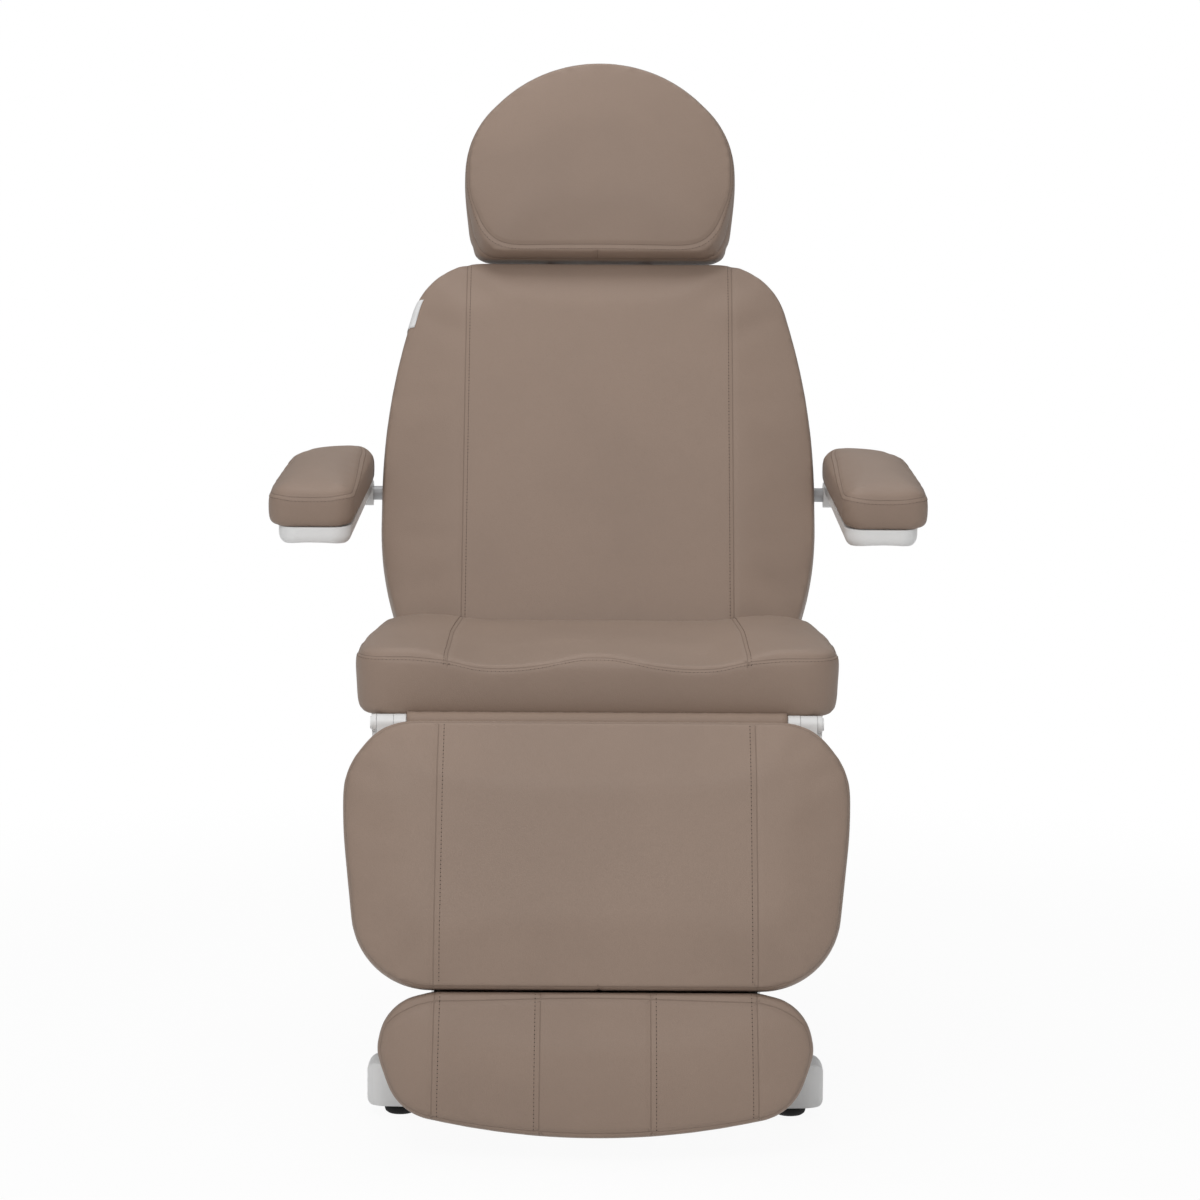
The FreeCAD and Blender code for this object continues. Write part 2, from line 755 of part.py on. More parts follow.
# Back hinge: a plate, a pin and a lug on each side
pin_axis = (back_hinge_y, back_hinge_z)
plate_bar = box(back_plate_x, back_plate_outer_x, rear_tube_y + cross_tube_depth, back_hinge_y,
                frame_top - back_plate_height, frame_top)
plate_boss = rod_x(back_knuckle_radius + back_plate_rim, back_plate_x, back_plate_outer_x, *pin_axis)
back_plate = joined(plate_bar, plate_boss)
back_plate = back_plate.cut(rod_x(back_pin_radius + press_fit, back_plate_x, back_plate_outer_x, *pin_axis))
save("back_hinge_plates", both_sides(back_plate))
pin_head_x = back_lug_outer_x + hinge_side_gap
back_pin = rod_x(back_pin_radius, back_plate_x, pin_head_x, *pin_axis)
back_pin = joined(back_pin, rod_x(back_pin_head_radius, pin_head_x, pin_head_x + back_pin_head, *pin_axis))
save("back_hinge_pins", both_sides(back_pin))

# Control box behind the column, with its power inlet facing the rear
box_front = column_depth / 2 + box_gap
box_rear = box_front + box_depth
box_low = head_plate_z - box_height
control_box = box(-box_half_width, box_half_width, box_front, box_rear, box_low, head_plate_z)
control_box = control_box.cut(box(-box_half_width + box_wall, box_half_width - box_wall, box_front + box_wall,
                                  box_rear - box_wall, box_low + box_wall, head_plate_z - box_wall))
inlet_hole_half = inlet_width / 2 + press_fit
inlet_hole_high = inlet_height / 2 + press_fit
control_box = control_box.cut(box(-inlet_hole_half, inlet_hole_half, box_rear - box_wall, box_rear,
                                  inlet_z - inlet_hole_high, inlet_z + inlet_hole_high))
save("control_box", control_box)
inlet_body = box(-inlet_width / 2, inlet_width / 2, box_rear - inlet_depth, box_rear,
                 inlet_z - inlet_height / 2, inlet_z + inlet_height / 2)
inlet_plate = box(-inlet_flange_width / 2, inlet_flange_width / 2, box_rear, box_rear + inlet_flange,
                  inlet_z - inlet_flange_height / 2, inlet_z + inlet_flange_height / 2)
recess_half = inlet_width / 2 - inlet_wall
recess_high = inlet_height / 2 - inlet_wall
inlet_hollow = box(-recess_half, recess_half, box_rear + inlet_flange - inlet_recess, box_rear + inlet_flange,
                   inlet_z - recess_high, inlet_z + recess_high)
save("power_inlet", joined(inlet_body, inlet_plate).cut(inlet_hollow))

# Leg rest, modelled hanging straight down from its hinge and facing -Y
leg_corners = mirrored_corners([
    (leg_half_width, -leg_pad_start, leg_top_corner_radius),
    (leg_half_width, -leg_pad_start - leg_taper_start, leg_taper_bend_radius),
    (leg_bottom_half_width, -leg_pad_end, leg_bottom_corner_radius),
])
save("leg_cushion", on_leg(facing_pad(leg_corners, leg_pad_back, leg_pad_thickness)))
leg_board = facing_plate(leg_corners, leg_board_inset, leg_pad_back - board_thickness, board_thickness)
save("leg_board", on_leg(leg_board))
tube_back = leg_tube_front + leg_tube_depth
leg_tube_x = leg_knuckle_x + leg_knuckle_width / 2
leg_tube_inner = leg_tube_x - leg_tube_width / 2
leg_side = tube_z(leg_tube_inner, leg_tube_x + leg_tube_width / 2, leg_tube_front, tube_back,
                  -leg_tube_end, -leg_tube_start, frame_wall)
leg_tubes = [leg_side, mirrored(leg_side)]
foot_rods_bore = []
for x in (-foot_rod_x, foot_rod_x):
    foot_rods_bore.append(rod_z(foot_guide_radius + press_fit, -foot_rod_bottom, 0, x, leg_tube_middle))
for along in (leg_upper_tube, leg_lower_tube):
    tube = tube_x(-leg_tube_inner, leg_tube_inner, leg_tube_front, tube_back,
                  -along - leg_tube_width, -along, frame_wall)
    leg_tubes.append(tube.cut(foot_rods_bore) if along == leg_lower_tube else tube)
save("leg_frame_tubes", on_leg(Part.makeCompound(leg_tubes)))
lug_web = link(leg_knuckle_x, knuckle_outer_x, (0, 0), flap_radius,
               (leg_tube_middle, -leg_tube_start - leg_tube_depth), leg_tube_depth / 2)
lug_web = lug_web.cut(box(leg_knuckle_x, knuckle_outer_x, -leg_half_width, leg_half_width, -leg_pad_end,
                          -leg_tube_start))
leg_lug = lug_web.cut(rod_x(leg_shaft_radius + running_fit, leg_knuckle_x, knuckle_outer_x))
save("leg_lugs", on_leg(both_sides(leg_lug)))
eye_outer_x = drive_x - drive_eye_half_width
leg_crank_x = eye_outer_x - crank_side_gap - crank_thickness
leg_crank_root = (tube_back, -leg_upper_tube - leg_tube_width / 2)
leg_crank = link(leg_crank_x, leg_crank_x + crank_thickness, leg_crank_root, leg_tube_width / 2,
                 (leg_crank_back, -leg_crank_along), crank_radius)
leg_crank = leg_crank.cut(box(0, leg_half_width, -leg_half_width, tube_back, -leg_pad_end, 0))
save("leg_crank", on_leg(leg_crank))
guides = []
for x in (-foot_rod_x, foot_rod_x):
    guide_end = foot_guide_start + foot_guide_length
    guide = rod_z(foot_guide_radius, -guide_end, -foot_guide_start, x, leg_tube_middle)
    guides.append(guide.cut(rod_z(foot_rod_radius + running_fit, -foot_rod_bottom, 0, x, leg_tube_middle)))
save("foot_guides", on_leg(Part.makeCompound(guides)))

# Foot rest
foot_corners = mirrored_corners([
    (foot_half_width, 0.0, foot_top_corner_radius),
    (foot_half_width, -foot_side_length, foot_side_bend_radius),
    (foot_lower_half_width, -foot_lower_along, foot_lower_corner_radius),
    (0.0, -foot_apex_along, foot_bottom_bend_radius),
])
save("foot_cushion", on_foot(facing_pad(foot_corners, -foot_pad_thickness, foot_pad_thickness)))
foot_back = foot_pad_thickness + foot_board_thickness
save("foot_board", on_foot(facing_plate(foot_corners, foot_board_inset, -foot_back, foot_board_thickness)))
foot_rods = []
for x in (-foot_rod_x, foot_rod_x):
    foot_rods.append(on_leg(rod_z(foot_rod_radius, -foot_rod_bottom, -foot_rod_top, x, leg_tube_middle)))
save("foot_rods", Part.makeCompound(foot_rods))
foot_bracket = on_foot(box(-foot_bracket_half_width, foot_bracket_half_width, foot_back,
                           foot_back + foot_bracket_depth, -foot_bracket_start - foot_bracket_height,
                           -foot_bracket_start))
for x in (-foot_rod_x, foot_rod_x):
    socket = rod_z(foot_rod_radius + press_fit, -foot_rod_bottom, -foot_rod_top, x, leg_tube_middle)
    foot_bracket = foot_bracket.cut(on_leg(socket))
save("foot_bracket", foot_bracket)

# Back rest, modelled upright over its hinge and facing -Y
back_corners = mirrored_corners([
    (back_bottom_half_width, back_pad_bottom, back_bottom_corner_radius),
    (back_half_width, back_lower_along, back_lower_bend_radius),
    (back_half_width, back_upper_along, back_upper_bend_radius),
    (back_top_half_width, back_pad_top, back_shoulder_radius),
])
save("back_cushion", on_back(facing_pad(back_corners, back_pad_back, back_pad_thickness)))
back_board = facing_plate(back_corners, back_board_inset, -back_tube_front, board_thickness)
save("back_board", on_back(back_board))
back_tube_rear = back_tube_front + back_tube_depth
rear_panel = facing_plate(back_corners, back_panel_inset, -back_tube_rear - back_panel_thickness,
                          back_panel_thickness)
rear_panel = rear_panel.cut(box(-back_half_width, back_half_width, back_tube_rear,
                                back_tube_rear + back_panel_thickness, back_pad_bottom, back_panel_bottom))
save("back_rear_panel", on_back(rear_panel))
lower_tube_top = back_lower_tube + back_tube_height
axle_bore = rod_x(axle_radius + press_fit, -axle_half_length, axle_half_length, back_tube_middle, axle_along)
upright_outer_x = upright_x + upright_width / 2
upright = tube_z(upright_outer_x - upright_width, upright_outer_x, back_tube_front, back_tube_rear,
                 lower_tube_top, back_upper_tube, frame_wall)
upright = upright.cut(axle_bore)
lower_tube = tube_x(-back_tube_half_length, back_tube_half_length, back_tube_front, back_tube_rear,
                    back_lower_tube, lower_tube_top, frame_wall)
upper_tube = tube_x(-upright_outer_x, upright_outer_x, back_tube_front, back_tube_rear, back_upper_tube,
                    back_upper_tube + back_tube_height, frame_wall)
head_guides = []
for x in (-head_rod_x, head_rod_x):
    guide_top = head_guide_bottom + head_guide_length
    guide = rod_z(head_guide_radius, head_guide_bottom, guide_top, x, back_tube_middle)
    bore = rod_z(head_rod_radius + running_fit, head_guide_bottom, guide_top, x, back_tube_middle)
    seat_hole = rod_z(head_guide_radius + press_fit, head_guide_bottom, guide_top, x, back_tube_middle)
    upper_tube = upper_tube.cut(seat_hole)
    head_guides.append(guide.cut(bore))
save("back_frame_tubes", on_back(Part.makeCompound([upright, mirrored(upright), lower_tube, upper_tube])))
save("head_guides", on_back(Part.makeCompound(head_guides)))
back_lug = link(back_lug_x, back_lug_outer_x, (0, 0), back_knuckle_radius,
                (back_tube_middle, back_lower_tube + back_tube_height), back_tube_depth / 2)
back_lug = back_lug.cut(box(back_lug_x, back_lug_outer_x, -back_half_width, back_half_width,
                            back_lower_tube, back_pad_top))
back_lug = back_lug.cut(rod_x(back_pin_radius + running_fit, back_lug_x, back_lug_outer_x))
save("back_lugs", on_back(both_sides(back_lug)))
lean = math.radians(back_recline)
crank_end = (back_crank_reach * math.sin(lean), -back_crank_reach * math.cos(lean))
back_crank = link(leg_crank_x, leg_crank_x + crank_thickness, crank_end, crank_radius,
                  (back_tube_middle, lower_tube_top), back_tube_depth / 2)
back_crank = back_crank.cut(box(0, back_half_width, -back_half_width, back_half_width,
                                back_lower_tube, back_pad_top))
save("back_crank", on_back(mirrored(back_crank)))
axle = rod_x(axle_radius, -axle_half_length, axle_half_length, back_tube_middle, axle_along)
save("arm_axle", on_back(axle))


# Arms: a moulded shell that turns on the axle, and a cushion on it
def arm_pieces():
    pad_corners = [
        (arm_inner_rear_x, -arm_pad_rear, arm_inner_rear_corner_radius),
        (arm_inner_front_x, -arm_pad_front, arm_front_corner_radius),
        (arm_outer_front_x, -arm_pad_front, arm_front_corner_radius),
        (arm_outer_rear_x, -arm_pad_rear, arm_outer_rear_corner_radius),
    ]
    pad_profile = [(0.0, 0.25), (0.15, 0.04), (0.45, 0.0), (0.78, 0.12), (0.93, 0.42), (1.0, 1.0)]
    cushion = pad([(pad_corners, part * arm_crown, level_plane(arm_pad_base + share * arm_pad_thickness))
                   for share, part in pad_profile])
    shell_front = -arm_pad_front + arm_shell_inset
    shell_corners = [
        (arm_hub_inner_x, arm_shell_rear, arm_shell_corner_radius),
        (arm_inner_front_x + arm_shell_inset, shell_front, arm_front_corner_radius),
        (arm_outer_front_x - arm_shell_inset, shell_front, arm_front_corner_radius),
        (arm_hub_outer_x, arm_shell_rear, arm_shell_corner_radius),
    ]
    shell_base = arm_pad_base - arm_shell_thickness
    shell_profile = [(0.0, 1.0), (0.1, 0.55), (0.3, 0.2), (0.6, 0.05), (1.0, 0.0)]
    shell_levels = []
    for share, part in shell_profile:
        shell_plane = level_plane(shell_base + share * arm_shell_thickness)
        shell_levels.append((shell_corners, part * arm_shell_round, shell_plane))
    shell = pad(shell_levels)
    arch_half = (arm_outer_front_x - arm_inner_front_x) / 2 - arm_shell_inset
    arch_radius = (arch_half ** 2 + arm_arch_height ** 2) / (2 * arm_arch_height)
    arch_x = (arm_inner_front_x + arm_outer_front_x) / 2
    arch_z = shell_base + arm_arch_height - arch_radius
    shell = shell.cut(rod_y(arch_radius, -arm_pad_front, -arm_arch_start, arch_x, arch_z))
    shell = joined(shell, rod_x(arm_hub_radius, arm_hub_inner_x, arm_hub_outer_x))
    shell = shell.cut(rod_x(axle_radius + running_fit, arm_hub_inner_x, axle_half_length + flat_gap))
    return on_arm(shell), on_arm(cushion)


arm_shell, arm_cushion = arm_pieces()
save("arm_right_shell", arm_shell)
save("arm_right_cushion", arm_cushion)
save("arm_left_shell", mirrored(arm_shell))
save("arm_left_cushion", mirrored(arm_cushion))

# Head rest: rods and bridge slide in the back, and the head turns on the bridge's pin
bridge_top = head_bridge_along + head_bridge_height
head_rods = []
bridge = box(-head_bridge_half_width, head_bridge_half_width, back_tube_front, back_tube_rear,
             head_bridge_along, bridge_top)
hinge_local = (-head_hinge_front, head_hinge_along)
ear_outer_x = head_ear_x + head_ear_thickness
for x0, x1 in ((head_ear_x, ear_outer_x), (-ear_outer_x, -head_ear_x)):
    ear_root = (back_tube_middle, head_hinge_along)
    ear = link(x0, x1, hinge_local, head_knuckle_radius, ear_root, head_knuckle_radius)
    bridge = joined(bridge, ear)
bridge = bridge.cut(rod_x(head_pin_radius + press_fit, -ear_outer_x, ear_outer_x, *hinge_local))
for x in (-head_rod_x, head_rod_x):
    head_rods.append(rod_z(head_rod_radius, head_rod_bottom, bridge_top, x, back_tube_middle))
    socket = rod_z(head_rod_radius + press_fit, head_bridge_along, bridge_top, x, back_tube_middle)
    bridge = bridge.cut(socket)
save("head_rods", on_back(Part.makeCompound(head_rods)))
save("head_bridge", on_back(bridge))
save("head_hinge_pin", on_back(rod_x(head_pin_radius, -ear_outer_x, ear_outer_x, *hinge_local)))
knuckle_half = head_ear_x - hinge_side_gap
bracket_back = head_bracket_thickness - head_board_gap
bracket_plate = box(-head_bracket_half_width, head_bracket_half_width, -head_board_gap, bracket_back,
                    -head_bracket_half_height, head_bracket_half_height)
bracket_web = box(-knuckle_half, knuckle_half, bracket_back, 0,
                  -head_web_thickness / 2, head_web_thickness / 2)
head_bracket = joined(bracket_plate, bracket_web, rod_x(head_knuckle_radius, -knuckle_half, knuckle_half))
head_bracket = head_bracket.cut(rod_x(head_pin_radius + running_fit, -knuckle_half, knuckle_half))
save("head_bracket", on_head(head_bracket))
head_pad_top = head_pad_bottom + head_pad_height
head_corners = mirrored_corners([
    (head_half_width - head_bottom_draw, head_pad_bottom, head_bottom_corner_radius),
    (head_half_width, head_pad_bottom + head_side_along, head_side_radius),
    (head_half_width - head_dome_draw, head_pad_top - head_dome_drop, head_side_bend_radius),
    (head_dome_half_width, head_pad_top, head_dome_radius),
])
head_board = facing_plate(head_corners, head_board_inset, head_board_gap, head_board_thickness)
save("head_board", on_head(head_board))
head_pad_back = head_board_gap + head_board_thickness
save("head_cushion", on_head(facing_pad(head_corners, head_pad_back, head_pad_thickness)))


# Drives: each swings on a pin in a bracket, and its rod's eye lies beside a crank
def drive_housing(x, tube_end, bore_start):
    # Along +Y from its pin.
    near_x = x - drive_eye_half_width
    far_x = x + drive_eye_half_width
    eye = rod_x(drive_eye_radius, near_x, far_x)
    neck = box(near_x, far_x, 0, drive_block_start, -drive_eye_radius, drive_eye_radius)
    block_end = drive_block_start + drive_block_length
    block = box(x - drive_block_half, x + drive_block_half, drive_block_start, block_end, -drive_block_half,
                drive_block_half)
    motor_end = drive_block_start + drive_motor_length
    motor = rod_y(drive_motor_radius, drive_block_start, motor_end, x, -drive_motor_drop)
    tube = rod_y(drive_tube_radius, block_end, tube_end, x)
    housing = joined(eye, neck, block, motor, tube)
    housing = housing.cut(rod_x(drive_pin_radius + running_fit, near_x, far_x))
    return housing.cut(rod_y(drive_rod_radius + running_fit, bore_start, tube_end, x))


def drive_rod(x, start, length):
    rod = rod_y(drive_rod_radius, start, length, x)
    eye = rod_x(drive_eye_radius, x - drive_eye_half_width, x + drive_eye_half_width, length)
    eye_hole = rod_x(drive_pin_radius, x - drive_eye_half_width, x + drive_eye_half_width, length)
    return joined(rod, eye).cut(eye_hole)


def drive_bracket(x, pin, tube_front):
    inner_x = drive_eye_half_width + hinge_side_gap
    outer_x = inner_x + drive_bracket_thickness
    tube_middle = (tube_front + cross_tube_depth / 2, frame_z + cross_tube_depth / 2)
    plates = rod_x(drive_pin_radius, x - outer_x, x + outer_x, *pin)
    for x0, x1 in ((x - outer_x, x - inner_x), (x + inner_x, x + outer_x)):
        plates = joined(plates, link(x0, x1, pin, drive_eye_radius, tube_middle, cross_tube_depth / 2))
    tube_room = box(x - outer_x, x + outer_x, tube_front - cross_tube_depth,
                    tube_front + 2 * cross_tube_depth, frame_z, frame_top)
    return plates.cut(tube_room)


def leg_point(back, along):
    turn = math.radians(leg_angle)
    y = leg_hinge_y - along * math.sin(turn) + back * math.cos(turn)
    return y, leg_hinge_z - along * math.cos(turn) - back * math.sin(turn)


leg_drive_pin = (rear_tube_y + cross_tube_depth / 2, frame_z - leg_drive_drop)
leg_crank_pin = leg_point(leg_crank_back, leg_crank_along)
leg_drive_length = math.dist(leg_drive_pin, leg_crank_pin)
leg_drive_rise = leg_drive_pin[1] - leg_crank_pin[1]
leg_drive_turn = math.degrees(math.atan2(leg_drive_rise, leg_drive_pin[0] - leg_crank_pin[0]))
leg_tube_reach = leg_drive_length - leg_drive_shown
leg_rod_start = leg_tube_reach - leg_rod_inside
back_drive_pin = (front_tube_y + cross_tube_depth / 2, frame_z - back_drive_drop)
back_crank_pin = (back_hinge_y, back_hinge_z - back_crank_reach)
back_drive_length = math.dist(back_drive_pin, back_crank_pin)
back_drive_rise = back_crank_pin[1] - back_drive_pin[1]
back_drive_turn = math.degrees(math.atan2(back_drive_rise, back_crank_pin[0] - back_drive_pin[0]))
back_tube_reach = back_drive_length - back_drive_shown
back_rod_start = back_tube_reach - back_rod_inside


def forward(shape):
    # Turns a drive that lies along +Y to lie along -Y, with its motor still below.
    return shape.mirror(Vec(0, 0, 0), Vec(0, 1, 0))


leg_housing = forward(drive_housing(drive_x, leg_tube_reach, leg_rod_start - drive_bore_gap))
leg_rod = forward(drive_rod(drive_x, leg_rod_start, leg_drive_length))
save("leg_drive_housing", on_hinge(leg_housing, leg_drive_turn, *leg_drive_pin))
save("leg_drive_rod", on_hinge(leg_rod, leg_drive_turn, *leg_drive_pin))
back_housing = drive_housing(-drive_x, back_tube_reach, back_rod_start - back_drive_stroke - drive_bore_gap)
back_rod = drive_rod(-drive_x, back_rod_start, back_drive_length)
save("back_drive_housing", on_hinge(back_housing, back_drive_turn, *back_drive_pin))
save("back_drive_rod", on_hinge(back_rod, back_drive_turn, *back_drive_pin))
save("drive_brackets", Part.makeCompound([drive_bracket(drive_x, leg_drive_pin, rear_tube_y),
                                          drive_bracket(-drive_x, back_drive_pin, front_tube_y)]))
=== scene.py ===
import bpy
import bmesh
import json
import math
import time
from mathutils import Matrix, Vector
from mathutils.bvhtree import BVHTree
from mathutils.kdtree import KDTree


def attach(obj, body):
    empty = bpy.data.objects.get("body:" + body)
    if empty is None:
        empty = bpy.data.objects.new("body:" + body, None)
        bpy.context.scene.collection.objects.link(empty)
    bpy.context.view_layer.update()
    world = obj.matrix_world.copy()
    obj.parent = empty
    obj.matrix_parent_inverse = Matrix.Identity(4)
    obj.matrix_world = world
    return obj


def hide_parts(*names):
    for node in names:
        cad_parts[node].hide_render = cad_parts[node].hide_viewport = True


startTime = time.time()
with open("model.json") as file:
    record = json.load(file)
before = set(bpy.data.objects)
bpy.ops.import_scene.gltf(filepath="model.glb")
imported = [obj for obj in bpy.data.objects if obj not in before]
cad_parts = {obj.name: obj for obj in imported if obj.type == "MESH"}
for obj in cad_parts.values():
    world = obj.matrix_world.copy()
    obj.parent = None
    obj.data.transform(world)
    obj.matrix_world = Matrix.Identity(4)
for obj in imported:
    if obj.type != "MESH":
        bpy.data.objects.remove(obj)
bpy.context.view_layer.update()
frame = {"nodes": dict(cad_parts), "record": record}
scene = bpy.context.scene


def report(words):
    print("[chair] %5.1f s  %s" % (time.time() - startTime, words))


report("frame loaded, %d nodes" % len(frame["nodes"]))

# camera where the photograph was taken: in front, a little above the arms
cameraView = {"place": (0.0, -5.065, 1.235), "pitchDown": 6.6, "roll": -0.30, "focalPixels": 3760.0,
              "imagePixels": 1200.0}
cameraData = bpy.data.cameras.new("photoCamera")
cameraData.sensor_width = 36.0
cameraData.lens = cameraView["focalPixels"] / cameraView["imagePixels"] * cameraData.sensor_width
cameraData.clip_end = 100.0
camera = bpy.data.objects.new("photoCamera", cameraData)
camera.location = cameraView["place"]
camera.rotation_euler = (math.radians(90.0 - cameraView["pitchDown"]), math.radians(cameraView["roll"]), 0.0)
scene.collection.objects.link(camera)
scene.camera = camera
scene.view_settings.view_transform = "Standard"


class Wire:
    # an output socket; sums on wires become Math nodes
    def __init__(self, tree, socket=None):
        self.tree = tree
        self.socket = socket

    def node(self, kind, settings=None, inputs=None, output=0):
        made = self.tree.nodes.new(kind)
        for name, value in (settings or {}).items():
            if name == "stops":
                ramp = made.color_ramp.elements
                while len(ramp) < len(value):
                    ramp.new(1.0)
                for stop, (place, colour) in zip(ramp, value):
                    stop.position = place
                    stop.color = colour
            else:
                setattr(made, name, value)
        for name, value in (inputs or {}).items():
            if isinstance(value, Wire):
                self.tree.links.new(value.socket, made.inputs[name])
            else:
                made.inputs[name].default_value = value
        return Wire(self.tree, made.outputs[output])

    def sum(self, operation, *values):
        return self.node("ShaderNodeMath", {"operation": operation}, dict(enumerate(values)))

    def __add__(self, other):
        return self.sum("ADD", self, other)

    def __radd__(self, other):
        return self.sum("ADD", other, self)

    def __sub__(self, other):
        return self.sum("SUBTRACT", self, other)

    def __rsub__(self, other):
        return self.sum("SUBTRACT", other, self)

    def __mul__(self, other):
        return self.sum("MULTIPLY", self, other)

    def __rmul__(self, other):
        return self.sum("MULTIPLY", other, self)

    def __truediv__(self, other):
        return self.sum("DIVIDE", self, other)

    def __abs__(self):
        return self.sum("ABSOLUTE", self)

    def fade(self, low, high):
        return self.node("ShaderNodeMapRange", {"interpolation_type": "SMOOTHSTEP"},
                         {"Value": self, "From Min": low, "From Max": high, "To Min": 0.0, "To Max": 1.0})

    def noise(self, scale, detail=3.0, roughness=0.5):
        return self.node("ShaderNodeTexNoise", None,
                         {"Vector": self, "Scale": scale, "Detail": detail, "Roughness": roughness})

    def between(self, first, second):
        return self.node("ShaderNodeMix", {"data_type": "RGBA"}, {0: self, 6: first, 7: second}, 2)


def newMaterial(name):
    made = bpy.data.materials.new(name)
    made.use_nodes = True
    tree = made.node_tree
    shader = tree.nodes["Principled BSDF"]
    place = Wire(tree).node("ShaderNodeTexCoord", output=3)
    return made, tree, shader, place


def connect(tree, shader, **inputs):
    for name, value in inputs.items():
        socket = shader.inputs[name.replace("_", " ")]
        if isinstance(value, Wire):
            tree.links.new(value.socket, socket)
        else:
            socket.default_value = value


def bumped(height, distance, strength=1.0, over=None):
    inputs = {"Height": height, "Distance": distance, "Strength": strength}
    if over:
        inputs["Normal"] = over
    return height.node("ShaderNodeBump", None, inputs)


def shade(colour, factor):
    return (colour[0] * factor, colour[1] * factor, colour[2] * factor, 1.0)


leatherLook = {"grainScale": 520.0, "poreScale": 1500.0, "cloudScale": 5.0, "creaseScale": 38.0,
               "grainDepth": 0.00022, "creaseDepth": 0.0011, "rough": 0.47, "seamHalf": 0.0009}


def leather(name, colour, sewn=True):
    look = leatherLook
    made, tree, shader, place = newMaterial(name)
    cells = place.node("ShaderNodeTexVoronoi", {"feature": "DISTANCE_TO_EDGE"},
                       {"Vector": place, "Scale": look["grainScale"], "Randomness": 1.0})
    grain = cells.fade(0.0, 0.16)
    pores = place.noise(look["poreScale"], 2.0)
    cloud = place.noise(look["cloudScale"], 4.0, 0.55)
    creases = place.noise(look["creaseScale"], 5.0, 0.6)
    tone = cloud.fade(0.3, 0.7).between(shade(colour, 0.955), shade(colour, 1.04))
    tone = (grain * 0.22 + pores * 0.25 + 0.42).fade(0.2, 0.9).between(shade(colour, 0.9), tone)
    rough = look["rough"] + 0.13 * cloud - 0.06 * grain
    normal = bumped(creases, look["creaseDepth"], 0.35)
    skin = grain * 0.8 + pores * 0.3
    if sewn:
        side = abs(place.node("ShaderNodeAttribute", {"attribute_name": "seamSide"}, output=2))
        near = place.node("ShaderNodeAttribute", {"attribute_name": "seamNear"}, output=2)
        line = (1.0 - side.fade(look["seamHalf"] * 0.35, look["seamHalf"])) * (1.0 - near.fade(0.003, 0.005))
        tone = (line * 0.26).between(tone, shade(colour, 0.36))
        rough = rough + line * 0.2
        skin = skin - line * 6.0
    connect(tree, shader, Base_Color=tone, Roughness=rough, Normal=bumped(skin, look["grainDepth"], 0.55, normal),
            Specular_IOR_Level=0.25, Sheen_Weight=0.02)
    return made


def sewingThread(name, colour, dark):
    # matt thread in the cover's colour, near-black where the needle went through: painted shade for the needle holes
    made, tree, shader, place = newMaterial(name)
    hole = place.node("ShaderNodeAttribute", {"attribute_name": "needleHole"}, output=2)
    fibre = place.noise(4000.0, 2.0)
    tone = hole.fade(0.4, 0.6).between(fibre.fade(0.3, 0.7).between(shade(colour, 0.85), colour), dark)
    connect(tree, shader, Base_Color=tone, Roughness=0.7 + 0.2 * fibre, Normal=bumped(fibre, 0.0001, 0.5),
            Specular_IOR_Level=0.2)
    return made


def coated(name, colour, rough, peelScale, peelDepth, metal=0.0):
    # powder coat and moulded plastic: a fine peel, faint dirt and slightly uneven gloss
    made, tree, shader, place = newMaterial(name)
    peel = place.noise(peelScale, 2.0, 0.5)
    cloud = place.noise(7.0, 4.0, 0.6)
    tone = cloud.fade(0.35, 0.75).between(shade(colour, 0.965), shade(colour, 1.0))
    gloss = rough + 0.1 * (cloud - 0.5) + 0.06 * peel
    connect(tree, shader, Base_Color=tone, Roughness=gloss, Normal=bumped(peel, peelDepth, 0.5), Metallic=metal,
            Specular_IOR_Level=0.45)
    return made


def brushed(name, colour, rough, lineScale):
    made, tree, shader, place = newMaterial(name)
    along = place.node("ShaderNodeMapping", None, {"Vector": place, "Scale": (lineScale * 0.03, lineScale, lineScale)})
    lines = along.noise(1.0, 3.0, 0.6)
    cloud = place.noise(14.0, 3.0)
    tone = lines.fade(0.3, 0.7).between(shade(colour, 0.86), shade(colour, 1.05))
    connect(tree, shader, Base_Color=tone, Roughness=rough + 0.18 * (lines - 0.5) + 0.08 * cloud, Metallic=1.0,
            Normal=bumped(lines, 0.00005, 0.3))
    return made


def rubbery(name, colour, rough):
    made, tree, shader, place = newMaterial(name)
    speckle = place.noise(900.0, 2.0)
    dust = place.noise(30.0, 4.0, 0.65)
    tone = dust.fade(0.45, 0.8).between(shade(colour, 1.0), shade(colour, 2.2))
    connect(tree, shader, Base_Color=tone, Roughness=rough + 0.1 * dust, Normal=bumped(speckle, 0.00012, 0.6),
            Specular_IOR_Level=0.35)
    return made


def plywood(name, light, dark):
    made, tree, shader, place = newMaterial(name)
    stretched = place.node("ShaderNodeMapping", None, {"Vector": place, "Scale": (2.0, 40.0, 40.0)})
    figure = stretched.noise(1.0, 5.0, 0.6)
    fibre = place.node("ShaderNodeMapping", None, {"Vector": place, "Scale": (14.0, 700.0, 700.0)}).noise(1.0, 2.0)
    tone = figure.fade(0.3, 0.7).between(shade(dark, 1.0), shade(light, 1.0))
    connect(tree, shader, Base_Color=tone, Roughness=0.62 + 0.12 * fibre, Normal=bumped(fibre, 0.0002, 0.4))
    return made


